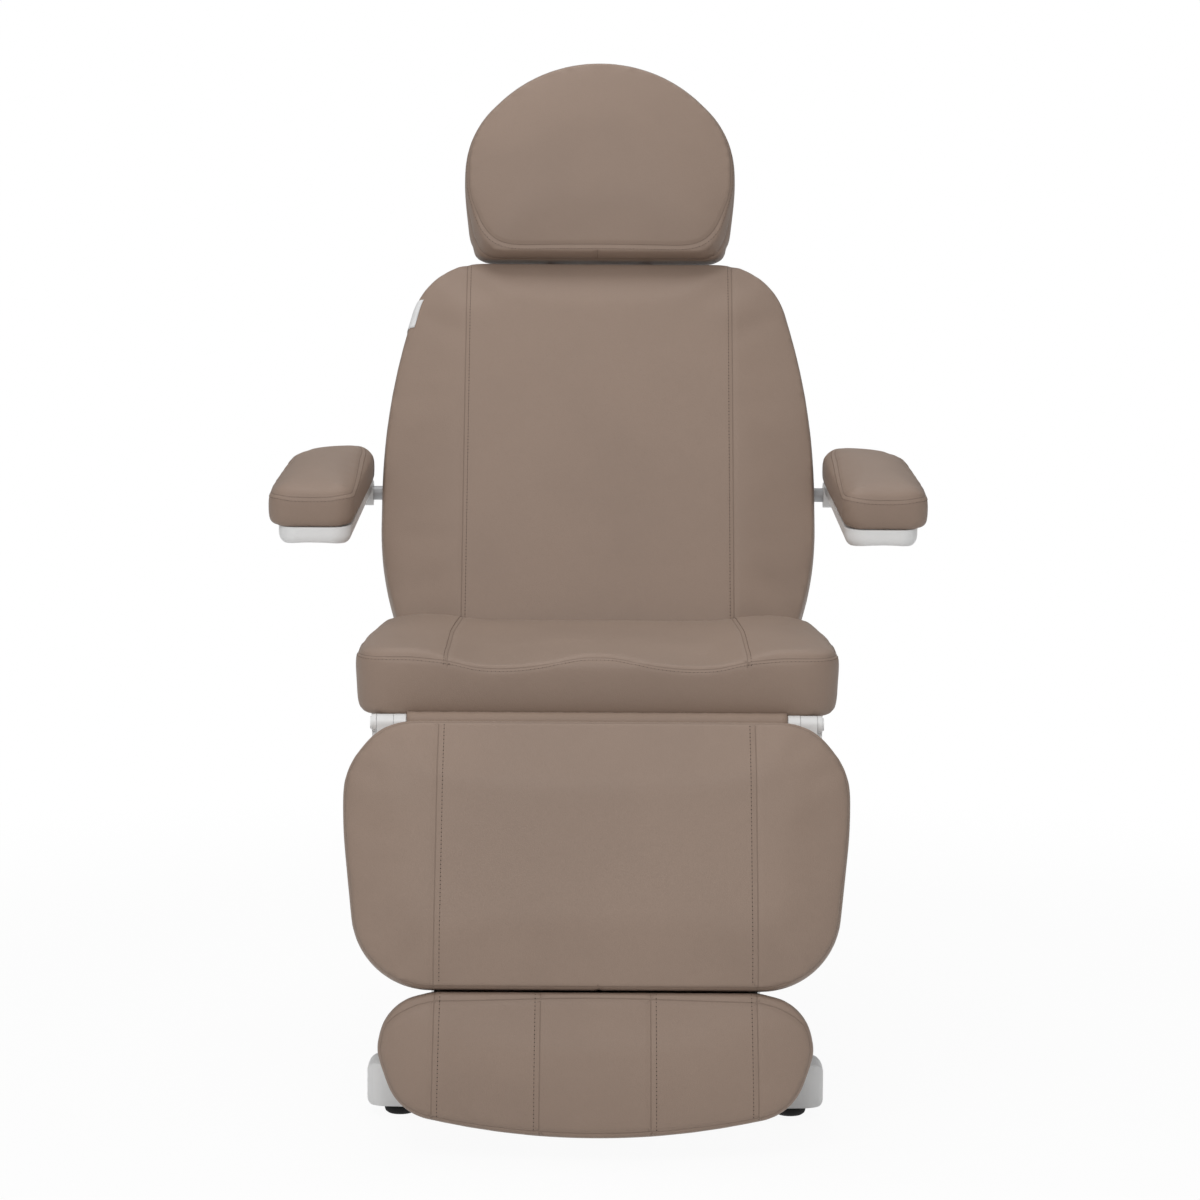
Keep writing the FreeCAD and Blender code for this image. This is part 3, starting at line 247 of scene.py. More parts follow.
leatherColour = (0.312, 0.229, 0.180)
finishes = {
    "upholstery": leather("taupeLeatherette", leatherColour),
    "white_paint": coated("whitePowderCoat", (0.86, 0.86, 0.855), 0.42, 700.0, 0.00012),
    "white_plastic": coated("whiteMoulding", (0.86, 0.86, 0.855), 0.36, 420.0, 0.00006),
    "grey_plastic": coated("greyMoulding", (0.50, 0.50, 0.50), 0.5, 500.0, 0.00015),
    "steel": brushed("turnedSteel", (0.47, 0.47, 0.47), 0.34, 900.0),
    "chrome": brushed("platedRod", (0.72, 0.72, 0.73), 0.12, 500.0),
    "black_rubber": rubbery("blackRubber", (0.006, 0.006, 0.006), 0.66),
    "black_plastic": rubbery("blackMoulding", (0.016, 0.016, 0.017), 0.45),
    "nylon": coated("nylonGlide", (0.70, 0.69, 0.65), 0.5, 500.0, 0.0001),
    "plywood": plywood("birchPly", (0.62, 0.46, 0.29), (0.47, 0.33, 0.19)),
}
axleFinish = coated("satinTube", (0.50, 0.505, 0.515), 0.5, 300.0, 0.00003, metal=0.35)
# the thread's near-black second colour is painted shade for the needle holes
threadFinish = sewingThread("sewingThread", shade(leatherColour, 0.95), shade(leatherColour, 0.10))

# every carried-over node gets the finish of its slot
slotOf = {sub["node"]: sub["material_slot"] for sub in frame["record"]["subparts"]}
for nodeName, shown in frame["nodes"].items():
    shown.data.materials.clear()
    shown.data.materials.append(finishes[slotOf[nodeName]])
wrapFinish = leather("wrappedBoard", shade(leatherColour, 0.93)[:3], sewn=False)
for nodeName in ("seat_board", "back_board", "leg_board", "foot_board", "head_board"):
    frame["nodes"][nodeName].data.materials[0] = wrapFinish
frame["nodes"]["arm_axle"].data.materials[0] = axleFinish
frame["nodes"]["leg_hinge_shaft"].data.materials[0] = finishes["white_paint"]
report("finishes made")


def newPiece(name, mesh, finish):
    piece = bpy.data.objects.new(name, mesh)
    scene.collection.objects.link(piece)
    mesh.materials.clear()
    mesh.materials.append(finish)
    return piece


def smoothShaded(mesh):
    mesh.polygons.foreach_set("use_smooth", [True] * len(mesh.polygons))
    mesh.update()


def moulded(name, shape, finish, smooth=True):
    # a finished bmesh becomes a piece
    mesh = bpy.data.meshes.new(name)
    shape.to_mesh(mesh)
    shape.free()
    if smooth:
        smoothShaded(mesh)
    return newPiece(name, mesh, finish)


def trim(piece, body):
    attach(piece, body)


def turned(shape, outline, axis, steps):
    # spins an outline of points right round an axis through the origin
    knots = [shape.verts.new(point) for point in outline]
    edges = [shape.edges.new(pair) for pair in zip(knots, knots[1:])]
    bmesh.ops.spin(shape, geom=knots + edges, cent=(0.0, 0.0, 0.0), axis=axis, angle=math.tau, steps=steps,
                   use_merge=True, use_duplicate=False)


def settled(piece):
    # the mesh as its modifiers leave it, with no modifier kept
    graph = bpy.context.evaluated_depsgraph_get()
    mesh = bpy.data.meshes.new_from_object(piece.evaluated_get(graph))
    piece.modifiers.clear()
    old = piece.data
    piece.data = mesh
    bpy.data.meshes.remove(old)
    return mesh


class Facing:
    # a pad's own frame: x across, front towards the sitter or camera, up along the pad
    def __init__(self, y, z, tilt, level=False):
        turn = Matrix.Rotation(math.radians(tilt), 4, "X")
        self.world = Matrix.Translation((0.0, y, z)) @ turn
        if level:
            self.world = self.world @ Matrix(((1, 0, 0, 0), (0, 0, 1, 0), (0, -1, 0, 0), (0, 0, 0, 1)))
        self.local = self.world.inverted()
        self.front = (self.world.to_3x3() @ Vector((0.0, -1.0, 0.0))).normalized()

    def point(self, across, front, up):
        return self.world @ Vector((across, -front, up))

    def depth(self, point):
        return -(self.local @ point).y


backFacing = Facing(0.206, 0.515, -25.0)
legFacing = Facing(-0.337, 0.530, -16.0)
headPlace = backFacing.world @ Vector((0.0, -0.010, 0.697))
headFacing = Facing(headPlace.y, headPlace.z, -15.5)
footPlace = legFacing.world @ Vector((0.0, -0.0664, -0.346))
footFacing = Facing(footPlace.y, footPlace.z, -9.0)
seatFacing = Facing(0.0, 0.0, 0.0, level=True)
axlePlace = backFacing.world @ Vector((0.0, 0.0165, 0.282))
armFacing = Facing(axlePlace.y, axlePlace.z, 5.0, level=True)

padShop = {"frames": 16, "pressure": 3.0, "bending": 4.0, "quality": 3}


def stuffedPad(node, name, facing, voxel, face, sink, cap, calm=2, rest=10):
    # face: the depth past which the front panel is free to swell; sink: how much flatter it starts;
    # calm: how often the whole skin is evened out first; rest: how often the swollen panel is afterwards
    source = frame["nodes"][node]
    shape = bmesh.new()
    shape.from_mesh(source.data)
    bmesh.ops.remove_doubles(shape, verts=shape.verts, dist=0.00002)
    piece = moulded(name, shape, finishes["upholstery"], smooth=False)
    remesh = piece.modifiers.new("evenSkin", "REMESH")
    remesh.mode = "VOXEL"
    remesh.voxel_size = voxel
    mesh = settled(piece)
    evenSkin(mesh, None, calm)
    depths = [facing.depth(vertex.co) for vertex in mesh.vertices]
    crown = max(depths)
    loose = []
    for vertex, depth in zip(mesh.vertices, depths):
        if depth > face:
            vertex.co -= facing.front * sink * min(1.0, (depth - face) / (0.6 * (crown - face)))
            loose.append(vertex.index)
    inflate(piece, loose, cap, rest)
    rounding = piece.modifiers.new("rounding", "SUBSURF")
    rounding.levels = 1
    rounding.render_levels = 1
    mesh = settled(piece)
    smoothShaded(mesh)
    return piece


def evenSkin(mesh, chosen, times):
    shape = bmesh.new()
    shape.from_mesh(mesh)
    shape.verts.ensure_lookup_table()
    moved = shape.verts[:] if chosen is None else [shape.verts[index] for index in chosen]
    for _ in range(times):
        bmesh.ops.smooth_vert(shape, verts=moved, factor=0.5, use_axis_x=True, use_axis_y=True, use_axis_z=True)
    shape.to_mesh(mesh)
    shape.free()


def inflate(piece, loose, cap, rest):
    before = [vertex.co.copy() for vertex in piece.data.vertices]
    free = set(loose)
    held = [index for index in range(len(before)) if index not in free]
    piece.vertex_groups.new(name="held").add(held, 1.0, "REPLACE")
    cloth = piece.modifiers.new("stuffing", "CLOTH")
    cloth.settings.quality = padShop["quality"]
    cloth.settings.mass = 0.3
    cloth.settings.bending_stiffness = padShop["bending"]
    cloth.settings.use_pressure = True
    cloth.settings.uniform_pressure_force = padShop["pressure"]
    cloth.settings.effector_weights.gravity = 0.0
    cloth.settings.vertex_group_mass = "held"
    cloth.collision_settings.use_collision = False
    cloth.point_cache.frame_start = 1
    cloth.point_cache.frame_end = padShop["frames"]
    for number in range(1, padShop["frames"] + 1):
        scene.frame_set(number)
    graph = bpy.context.evaluated_depsgraph_get()
    swollen = [vertex.co.copy() for vertex in piece.evaluated_get(graph).data.vertices]
    piece.modifiers.clear()
    piece.vertex_groups.clear()
    scene.frame_set(1)
    for vertex, old, new in zip(piece.data.vertices, before, swollen):
        move = new - old
        vertex.co = old + move * min(1.0, cap / max(move.length, 0.000001))
    evenSkin(piece.data, loose, rest)


def surfaceOf(piece):
    shape = bmesh.new()
    shape.from_mesh(piece.data)
    tree = BVHTree.FromBMesh(shape)
    shape.free()
    return tree


def ringAt(piece, point, normal):
    # the closed line where a plane cuts the pad, in order
    shape = bmesh.new()
    shape.from_mesh(piece.data)
    bmesh.ops.bisect_plane(shape, geom=shape.verts[:] + shape.edges[:] + shape.faces[:], dist=0.0000001,
                           plane_co=point, plane_no=normal, clear_inner=True, clear_outer=True)
    start = next(vertex for vertex in shape.verts if len(vertex.link_edges) == 2)
    ring = [start]
    edge = start.link_edges[0]
    vertex = edge.other_vert(start)
    while vertex != start:
        ring.append(vertex)
        onward = [other for other in vertex.link_edges if other != edge]
        if not onward:
            break
        edge = onward[0]
        vertex = edge.other_vert(vertex)
    points = [vertex.co.copy() for vertex in ring]
    shape.free()
    return points + points[:1]


def evenly(points, step):
    # the same line with points a step apart
    spaced = [points[0].copy()]
    left = step
    for first, second in zip(points, points[1:]):
        length = (second - first).length
        gone = 0.0
        while length - gone >= left:
            gone += left
            spaced.append(first.lerp(second, gone / length))
            left = step
        left -= length - gone
    return spaced


def calmRing(piece, facing, depth, up, lean=0.0):
    # a seam all round a pad at one depth, with the small waves of its skin taken out
    surface = surfaceOf(piece)
    normal = facing.front + (facing.world.to_3x3() @ Vector((0.0, 0.0, 1.0))) * lean
    ring = evenly(ringAt(piece, facing.point(0.0, depth, up), normal.normalized()), 0.003)[:-1]
    count = len(ring)
    for _ in range(14):
        ring = [(ring[n - 2] + ring[n - 1] + ring[n] + ring[(n + 1) % count] + ring[(n + 2) % count]) / 5.0
                for n in range(count)]
    ring = [surface.find_nearest(point)[0] for point in ring]
    return ring + ring[:1]


def laidLine(surface, facing, places, step=0.003):
    # a line drawn on the pad's face, given as (across, up), and pressed onto the surface from the front
    guide = evenly([Vector((across, 0.0, up)) for across, up in places], step)
    laid = []
    for place in guide:
        start = facing.point(place.x, 2.0, place.z)
        hit = surface.ray_cast(start, -facing.front)
        if hit[0] is not None:
            laid.append(hit[0])
    return laid


def bandJoin(surface, facing, across, front, rear, up):
    # a short seam over the band under a pad, from its edge seam towards the board
    laid = []
    down = (facing.world.to_3x3() @ Vector((0.0, 0.0, -1.0))).normalized()
    for number in range(16):
        depth = front + (rear - front) * number / 15.0
        start = facing.point(across, depth, up) + down * 0.6
        hit = surface.ray_cast(start, -down)
        if hit[0] is not None:
            laid.append(hit[0])
    return laid


def seatRim(surface, size):
    # the top panel's edge: down from the surface a little way inside the outline, then in from the side
    outline = [(Vector((size["rearX"], size["rearY"])), Vector((1.0, 0.0))),
               (Vector((size["midX"], size["midY"])), Vector((1.0, 0.0))),
               (Vector((size["frontX"], size["frontY"] + size["corner"])), Vector((1.0, 0.0)))]
    for angle in range(10, 90, 10):
        turn = math.radians(angle)
        outward = Vector((math.cos(turn), -math.sin(turn)))
        centre = Vector((size["frontX"] - size["corner"], size["frontY"] + size["corner"]))
        outline.append((centre + outward * size["corner"], outward))
    outline.append((Vector((size["frontX"] - size["corner"], size["frontY"])), Vector((0.0, -1.0))))
    places = []
    for (first, outward), (second, nextOutward) in zip(outline, outline[1:]):
        steps = max(1, int((second - first).length / 0.004))
        places += [(first.lerp(second, n / steps), outward.lerp(nextOutward, n / steps).normalized())
                   for n in range(steps)]
    across = int((size["frontX"] - size["corner"]) / 0.004)
    places += [(Vector((0.004 * (across - n), size["frontY"])), Vector((0.0, -1.0))) for n in range(across)]
    places += [(Vector((-place.x, place.y)), Vector((-outward.x, outward.y))) for place, outward in reversed(places)]
    laid = []
    for place, outward in places:
        inside = place - outward * size["inset"]
        top = surface.ray_cast(Vector((inside.x, inside.y, 1.0)), Vector((0.0, 0.0, -1.0)))
        out = place + outward * 0.2
        drop = size["drop"] + size["sideDrop"] * eased((abs(place.x) - 0.17) / 0.06)
        side = surface.ray_cast(Vector((out.x, out.y, top[0].z - drop)), Vector((-outward.x, -outward.y, 0.0)))
        laid.append(side[0])
    for _ in range(3):
        laid = laid[:1] + [(a + b + c) / 3.0 for a, b, c in zip(laid, laid[1:], laid[2:])] + laid[-1:]
    return evenly(laid, 0.003)


def sideways(points, surface):
    # for each point of a line on the pad: the direction across the line, on the surface
    sides = []
    last = len(points) - 1
    for index, point in enumerate(points):
        along = points[min(index + 1, last)] - points[max(index - 1, 0)]
        normal = surface.find_nearest(point)[1]
        sides.append(along.cross(normal).normalized())
    return sides


def sewSeams(piece, lines, groove, width):
    # draws the fabric in along each line, and keeps each point's distance from the nearest one
    surface = surfaceOf(piece)
    marks = []
    for line in lines:
        marks += list(zip(line, sideways(line, surface)))
    finder = KDTree(len(marks))
    for index, (point, side) in enumerate(marks):
        finder.insert(point, index)
    finder.balance()
    mesh = piece.data
    near = []
    across = []
    for vertex in mesh.vertices:
        place, index, distance = finder.find(vertex.co)
        side = (vertex.co - place).dot(marks[index][1])
        near.append(min(distance, 0.03))
        across.append(max(-0.03, min(0.03, side)))
    normals = [vertex.normal.copy() for vertex in mesh.vertices]
    for vertex, normal, distance in zip(mesh.vertices, normals, near):
        if distance < width:
            share = 1.0 - (distance / width) ** 2
            vertex.co -= normal * groove * share * share
    mesh.attributes.new("seamNear", "FLOAT", "POINT").data.foreach_set("value", near)
    mesh.attributes.new("seamSide", "FLOAT", "POINT").data.foreach_set("value", across)
    mesh.update()


stitchSize = {"pitch": 0.0050, "length": 0.0038, "width": 0.00060, "height": 0.00034, "sunk": 0.00004,
              "hole": 0.00080, "holeHeight": 0.00030}


def stitchTemplate():
    size = stitchSize
    shape = bmesh.new()
    dark = shape.verts.layers.float.new("needleHole")
    thread = bmesh.ops.create_uvsphere(shape, u_segments=6, v_segments=4, radius=1.0)["verts"]
    bmesh.ops.scale(shape, vec=(size["length"] / 2, size["width"], size["height"]), verts=thread)
    bmesh.ops.translate(shape, vec=(size["pitch"] / 2, 0.0, 0.0), verts=thread)
    # a flat disc between two stitches, marked for the near-black painted shade of the needle hole
    hole = bmesh.ops.create_icosphere(shape, subdivisions=1, radius=1.0)["verts"]
    bmesh.ops.scale(shape, vec=(size["hole"], size["hole"], size["holeHeight"]), verts=hole)
    for vertex in hole:
        vertex[dark] = 1.0
    mesh = bpy.data.meshes.new("stitch")
    shape.to_mesh(mesh)
    shape.free()
    return mesh


def stitchRow(points):
    # one stitch repeated along a line
    curve = bpy.data.curves.new("stitchGuide", "CURVE")
    curve.dimensions = "3D"
    spline = curve.splines.new("POLY")
    spline.points.add(len(points) - 1)
    for knot, point in zip(spline.points, points):
        knot.co = (*point, 1.0)
    guide = bpy.data.objects.new("stitchGuide", curve)
    scene.collection.objects.link(guide)
    row = newPiece("stitchRow", stitchTemplate(), threadFinish)
    length = sum((b - a).length for a, b in zip(points, points[1:]))
    repeat = row.modifiers.new("repeat", "ARRAY")
    repeat.count = max(1, int(length / stitchSize["pitch"]))
    repeat.use_relative_offset = False
    repeat.use_constant_offset = True
    repeat.constant_offset_displace = (stitchSize["pitch"], 0.0, 0.0)
    follow = row.modifiers.new("follow", "CURVE")
    follow.object = guide
    bpy.context.view_layer.update()
    mesh = settled(row)
    bpy.data.objects.remove(row)
    bpy.data.objects.remove(guide)
    return mesh


def boardSide(piece, facing, line, gap):
    # the gap with the sign that puts a row on the side of the line away from the front
    middle = len(line) // 2
    side = sideways(line[middle - 1:middle + 2], surfaceOf(piece))[1]
    return gap if side.dot(facing.front) < 0.0 else -gap


def pressed(piece, facing, line, shift):
    # a line moved over the pad's face by shift(across, up) and laid on it again from the front
    surface = surfaceOf(piece)
    laid = []
    for point in line:
        local = facing.local @ point
        across, up = shift(local.x, local.z)
        hit = surface.ray_cast(facing.point(across, 2.0, up), -facing.front)
        laid.append(point if hit[0] is None else hit[0])
    return laid


def eased(share):
    share = min(1.0, max(0.0, share))
    return share * share * (3.0 - 2.0 * share)


def stitches(name, piece, rows):
    # rows: (line, distance to one side of it)
    surface = surfaceOf(piece)
    sewn = bmesh.new()
    sewn.verts.layers.float.new("needleHole")
    for line, offset in rows:
        moved = []
        for point, side in zip(line, sideways(line, surface)):
            place, normal, _, _ = surface.find_nearest(point + side * offset)
            moved.append(place - normal * stitchSize["sunk"])
        mesh = stitchRow(moved)
        sewn.from_mesh(mesh)
        bpy.data.meshes.remove(mesh)
    return moulded(name, sewn, threadFinish)


def fitPad(piece, body, node, thread=None):
    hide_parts(node)
    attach(piece, body)
    if thread:
        trim(thread, body)
    report("%s sewn, %d faces" % (piece.name, len(piece.data.polygons)))


# back: two long seams with a row of stitches each side, and an edge seam all round
backPad = {"voxel": 0.0072, "face": 0.080, "sink": 0.005, "cap": 0.009, "seamX": 0.1905, "rowGap": 0.0056,
           "edgeDepth": 0.052}
back = stuffedPad("back_cushion", "backPad", backFacing, backPad["voxel"], backPad["face"], backPad["sink"],
                  backPad["cap"])
backSkin = surfaceOf(back)
backSeams = [laidLine(backSkin, backFacing, [(side * backPad["seamX"], -0.042), (side * backPad["seamX"], 0.605)])
             for side in (-1.0, 1.0)]
backEdge = calmRing(back, backFacing, backPad["edgeDepth"], 0.3)
sewSeams(back, backSeams + [backEdge], 0.0010, 0.006)
backThread = stitches("backThread", back, [(backSeams[0], backPad["rowGap"]), (backSeams[1], -backPad["rowGap"])])
fitPad(back, "back", "back_cushion", backThread)

# head: front panel joined to a deep band, with a short join under the middle
headPad = {"voxel": 0.0052, "face": 0.113, "sink": 0.004, "cap": 0.007, "edgeDepth": 0.1095, "lean": 0.042,
           "bandDepth": 0.088, "domeFrom": 0.10, "domeLift": 0.0024, "cornerPull": 0.010,
           "bandFull": 0.009, "rowGap": 0.0060, "joinX": -0.003, "joinUp": 0.05}
head = stuffedPad("head_cushion", "headPad", headFacing, headPad["voxel"], headPad["face"], headPad["sink"],
                  headPad["cap"], rest=60)
for vertex in head.data.vertices:
    # the dome and the lower corners of the band stand a little fuller than the board
    local = headFacing.local @ vertex.co
    corner = eased((abs(local.x) - 0.11) / 0.05) * eased((-0.052 - local.z) / 0.022) * eased((local.y + 0.108) / 0.03)
    local.x += math.copysign(headPad["bandFull"] * corner, local.x)
    local.z += headPad["domeLift"] * eased((local.z - headPad["domeFrom"]) / 0.11)
    inward = headPad["cornerPull"] * eased((abs(local.x) - 0.10) / 0.08) * eased((0.03 - local.z) / 0.09)
    local.x -= math.copysign(inward * eased((-local.y - 0.06) / 0.055), local.x)
    vertex.co = headFacing.world @ local
headSkin = surfaceOf(head)
headEdge = calmRing(head, headFacing, headPad["edgeDepth"], 0.05, headPad["lean"])
headBand = calmRing(head, headFacing, headPad["bandDepth"], 0.05)
headJoin = bandJoin(headSkin, headFacing, headPad["joinX"], headPad["edgeDepth"], headPad["bandDepth"],
                    headPad["joinUp"])
sewSeams(head, [headEdge, headBand, headJoin], 0.0011, 0.006)
headThread = stitches("headThread", head, [(headEdge, boardSide(head, headFacing, headEdge, headPad["rowGap"]))])
fitPad(head, "head", "head_cushion", headThread)

# seat: top panel with two seams in line with the back's, and a sewn edge that dips under each thigh
seatPad = {"voxel": 0.0058, "face": 0.606, "sink": 0.003, "cap": 0.006, "rowGap": 0.0050,
           "frontY": -0.335, "frontX": 0.304, "midX": 0.312, "midY": -0.07, "rearX": 0.305, "rearY": 0.05,
           "corner": 0.048, "inset": 0.018, "drop": 0.0045, "sideDrop": 0.0055, "edgeRow": 0.0036,
           "seam": ((0.1905, -0.334), (0.1890, -0.136), (0.1850, 0.0), (0.1815, 0.10)), "bolster": 0.006,
           "fullness": 0.0025, "lip": 0.005, "rearDraw": 0.013}
seat = stuffedPad("seat_cushion", "seatPad", seatFacing, seatPad["voxel"], seatPad["face"], seatPad["sink"],
                  seatPad["cap"])
for vertex in seat.data.vertices:
    # low bolsters along the sides, fuller upper corners, and a front edge that sags a little
    beside = eased((abs(vertex.co.x) - 0.148) / 0.065) * eased((0.335 - abs(vertex.co.x)) / 0.05)
    vertex.co.z += seatPad["bolster"] * beside * min(1.0, max(0.0, (vertex.co.z - 0.565) / 0.045))
    outer = min(1.0, max(0.0, (abs(vertex.co.x) - 0.20) / 0.09))
    above = eased((vertex.co.z - 0.555) / 0.06)
    drawn = seatPad["rearDraw"] * eased((vertex.co.y + 0.26) / 0.36)
    vertex.co.x += math.copysign(1.0, vertex.co.x) * outer * (0.0025 + seatPad["fullness"] * above - drawn)
    forward = eased((-0.285 - vertex.co.y) / 0.03)
    vertex.co.z -= seatPad["lip"] * forward * eased((0.575 - vertex.co.z) / 0.02)
seatSkin = surfaceOf(seat)
seatEdge = seatRim(seatSkin, seatPad)
seatSeams = [laidLine(seatSkin, seatFacing, [(side * across, along) for across, along in seatPad["seam"]])
             for side in (-1.0, 1.0)]
sewSeams(seat, seatSeams + [seatEdge], 0.0011, 0.006)
seatThread = stitches("seatThread", seat, [(seatSeams[0], -seatPad["rowGap"]), (seatSeams[1], seatPad["rowGap"]),
                                           (seatEdge, -seatPad["edgeRow"])])
fitPad(seat, "seat", "seat_cushion", seatThread)

# leg: two double seams, an edge seam round the front panel and a short join at the bottom
legPad = {"voxel": 0.0062, "face": 0.064, "sink": 0.005, "cap": 0.009, "seamTop": 0.1985, "seamBottom": 0.2015,
          "rowGap": 0.0070, "edgeDepth": 0.061, "bandDepth": 0.012, "joinX": 0.004, "joinUp": -0.15,
          "topRise": 0.0045}
leg = stuffedPad("leg_cushion", "legPad", legFacing, legPad["voxel"], legPad["face"], legPad["sink"], legPad["cap"])
for vertex in leg.data.vertices:
    # the front of its upper edge stands up to the knee flap
    local = legFacing.local @ vertex.co
    local.z += legPad["topRise"] * eased((local.z + 0.045) / 0.03) * eased((-local.y - 0.025) / 0.02)
    vertex.co = legFacing.world @ local
legSkin = surfaceOf(leg)
legSeams = [laidLine(legSkin, legFacing, [(side * legPad["seamTop"], -0.011), (side * legPad["seamBottom"], -0.338)])
            for side in (-1.0, 1.0)]
legEdge = calmRing(leg, legFacing, legPad["edgeDepth"], -0.15)
legJoin = bandJoin(legSkin, legFacing, legPad["joinX"], legPad["edgeDepth"], legPad["bandDepth"], legPad["joinUp"])
sewSeams(leg, legSeams + [legEdge, legJoin], 0.0010, 0.006)
legThread = stitches("legThread", leg, [(legSeams[0], -legPad["rowGap"]), (legSeams[1], legPad["rowGap"])])
fitPad(leg, "leg", "leg_cushion", legThread)

# foot: four seams down the front panel, and its edge seam
footPad = {"voxel": 0.0052, "face": -0.010, "sink": 0.004, "cap": 0.007, "seams": (-0.2022, -0.0690, 0.0690, 0.2022),
           "rowGap": 0.0068, "edgeDepth": -0.0125, "topInset": 0.0085, "bottomInset": 0.004,
           "corner": 0.082, "solidCorner": 0.060, "halfWidth": 0.274, "topRise": 0.002}
foot = stuffedPad("foot_cushion", "footPad", footFacing, footPad["voxel"], footPad["face"], footPad["sink"],
                  footPad["cap"])
for vertex in foot.data.vertices:
    # rounder upper corners, and a front panel that stands up to the leg rest
    local = footFacing.local @ vertex.co
    radius = footPad["corner"]
    across = abs(local.x) - footPad["halfWidth"] + radius
    up = local.z + radius
    if across > 0.0 and up > 0.0:
        middle = radius - footPad["solidCorner"]
        reach = math.hypot(across, up)
        edge = radius * reach / max(across, up)
        if radius * min(across, up) / max(across, up) > middle:
            along = (across + up) * middle / reach
            edge = along + math.sqrt(along * along - 2.0 * middle * middle + footPad["solidCorner"] ** 2)
        local.x = math.copysign(footPad["halfWidth"] - radius + across * radius / edge, local.x)
        local.z = -radius + up * radius / edge
    local.z += footPad["topRise"] * eased((local.z + 0.03) / 0.02) * eased((0.03 - local.y) / 0.02)
    vertex.co = footFacing.world @ local
footSkin = surfaceOf(foot)
footSeams = [laidLine(footSkin, footFacing, [(across * 0.99, -0.002), (across * 1.01, -0.192)])
             for across in footPad["seams"]]
footEdge = calmRing(foot, footFacing, footPad["edgeDepth"], -0.09)
footEdge = pressed(foot, footFacing, footEdge, lambda across, up: (
    across, up - footPad["topInset"] * eased((up + 0.045) / 0.035) * (0.5 + 0.5 * eased(abs(across) / 0.21))
    + footPad["bottomInset"] * eased((-0.13 - up) / 0.06)))
sewSeams(foot, footSeams + [footEdge], 0.0010, 0.006)
footThread = stitches("footThread", foot, [(line, side * footPad["rowGap"])
                                           for line, side in zip(footSeams, (-1.0, 1.0, -1.0, 1.0))])
fitPad(foot, "foot", "foot_cushion", footThread)

# arms: a crowned top panel sewn to a low band
armPad = {"voxel": 0.0042, "face": 0.064, "sink": 0.002, "cap": 0.007, "edgeDepth": 0.0685, "edgeLean": -0.037,
          "rowGap": 0.0056, "calm": 7, "outerX": 0.380, "cornerPull": 0.0062}
for sideName in ("left", "right"):
    arm = stuffedPad("arm_%s_cushion" % sideName, "armPad_" + sideName, armFacing, armPad["voxel"], armPad["face"],
                     armPad["sink"], armPad["cap"], armPad["calm"])
    for vertex in arm.data.vertices:
        # the outer side draws in towards the rear
        local = armFacing.local @ vertex.co
        outer = eased((abs(local.x) - armPad["outerX"]) / 0.06)
        rearward = min(1.0, max(0.0, (local.z + 0.30) / 0.172))
        local.x -= math.copysign(armPad["cornerPull"] * outer * rearward, local.x)
        vertex.co = armFacing.world @ local
    armEdge = calmRing(arm, armFacing, armPad["edgeDepth"], -0.25, armPad["edgeLean"])
    sewSeams(arm, [armEdge], 0.0006, 0.006)
    armThread = stitches("armThread_" + sideName, arm,
                         [(armEdge, boardSide(arm, armFacing, armEdge, armPad["rowGap"]))])
    fitPad(arm, "arm_" + sideName, "arm_%s_cushion" % sideName, armThread)

# knee flap: a vinyl sleeve over the hinge shaft, closed by one lengthwise seam behind
kneeFlap = {"sides": 40, "rings": 60, "radius": 0.0120, "bore": 0.0082, "halfWidth": 0.2415, "place": (-0.337, 0.530),
            "rise": 0.0025}
shape = bmesh.new()
profile = [shape.verts.new((-kneeFlap["halfWidth"], 0.0, radius)) for radius in (kneeFlap["bore"], kneeFlap["radius"])]
for number in range(1, kneeFlap["rings"] + 1):
    across = kneeFlap["halfWidth"] * (2.0 * number / kneeFlap["rings"] - 1.0)
    wrinkle = 0.00035 * math.sin(number * 2.3) * math.sin(number * 0.71)
    profile.append(shape.verts.new((across, 0.0, kneeFlap["radius"] - 0.0004 + wrinkle)))
profile.append(shape.verts.new((kneeFlap["halfWidth"], 0.0, kneeFlap["bore"])))
edges = [shape.edges.new((first, second)) for first, second in zip(profile, profile[1:])]
edges.append(shape.edges.new((profile[-1], profile[0])))
bmesh.ops.spin(shape, geom=profile + edges, cent=(0.0, 0.0, 0.0), axis=(1.0, 0.0, 0.0), angle=math.tau,
               steps=kneeFlap["sides"], use_merge=True, use_duplicate=False)
bmesh.ops.remove_doubles(shape, verts=shape.verts, dist=0.00001)
bmesh.ops.recalc_face_normals(shape, faces=shape.faces)
for vertex in shape.verts:
    # the sleeve hangs a little high where the seat presses it
    vertex.co.z += kneeFlap["rise"] * eased((vertex.co.z + 0.006) / 0.016)
bmesh.ops.translate(shape, vec=(0.0, *kneeFlap["place"]), verts=shape.verts)
# the sleeve's colour is 12 % lighter than the cushions' leather: painted light against the shade under the seat's front
# edge
flap = moulded("kneeFlap", shape, leather("flapVinylPaintedLight", shade(leatherColour, 1.12)[:3], sewn=False))
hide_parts("knee_flap")
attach(flap, "seat")
report("knee flap made")

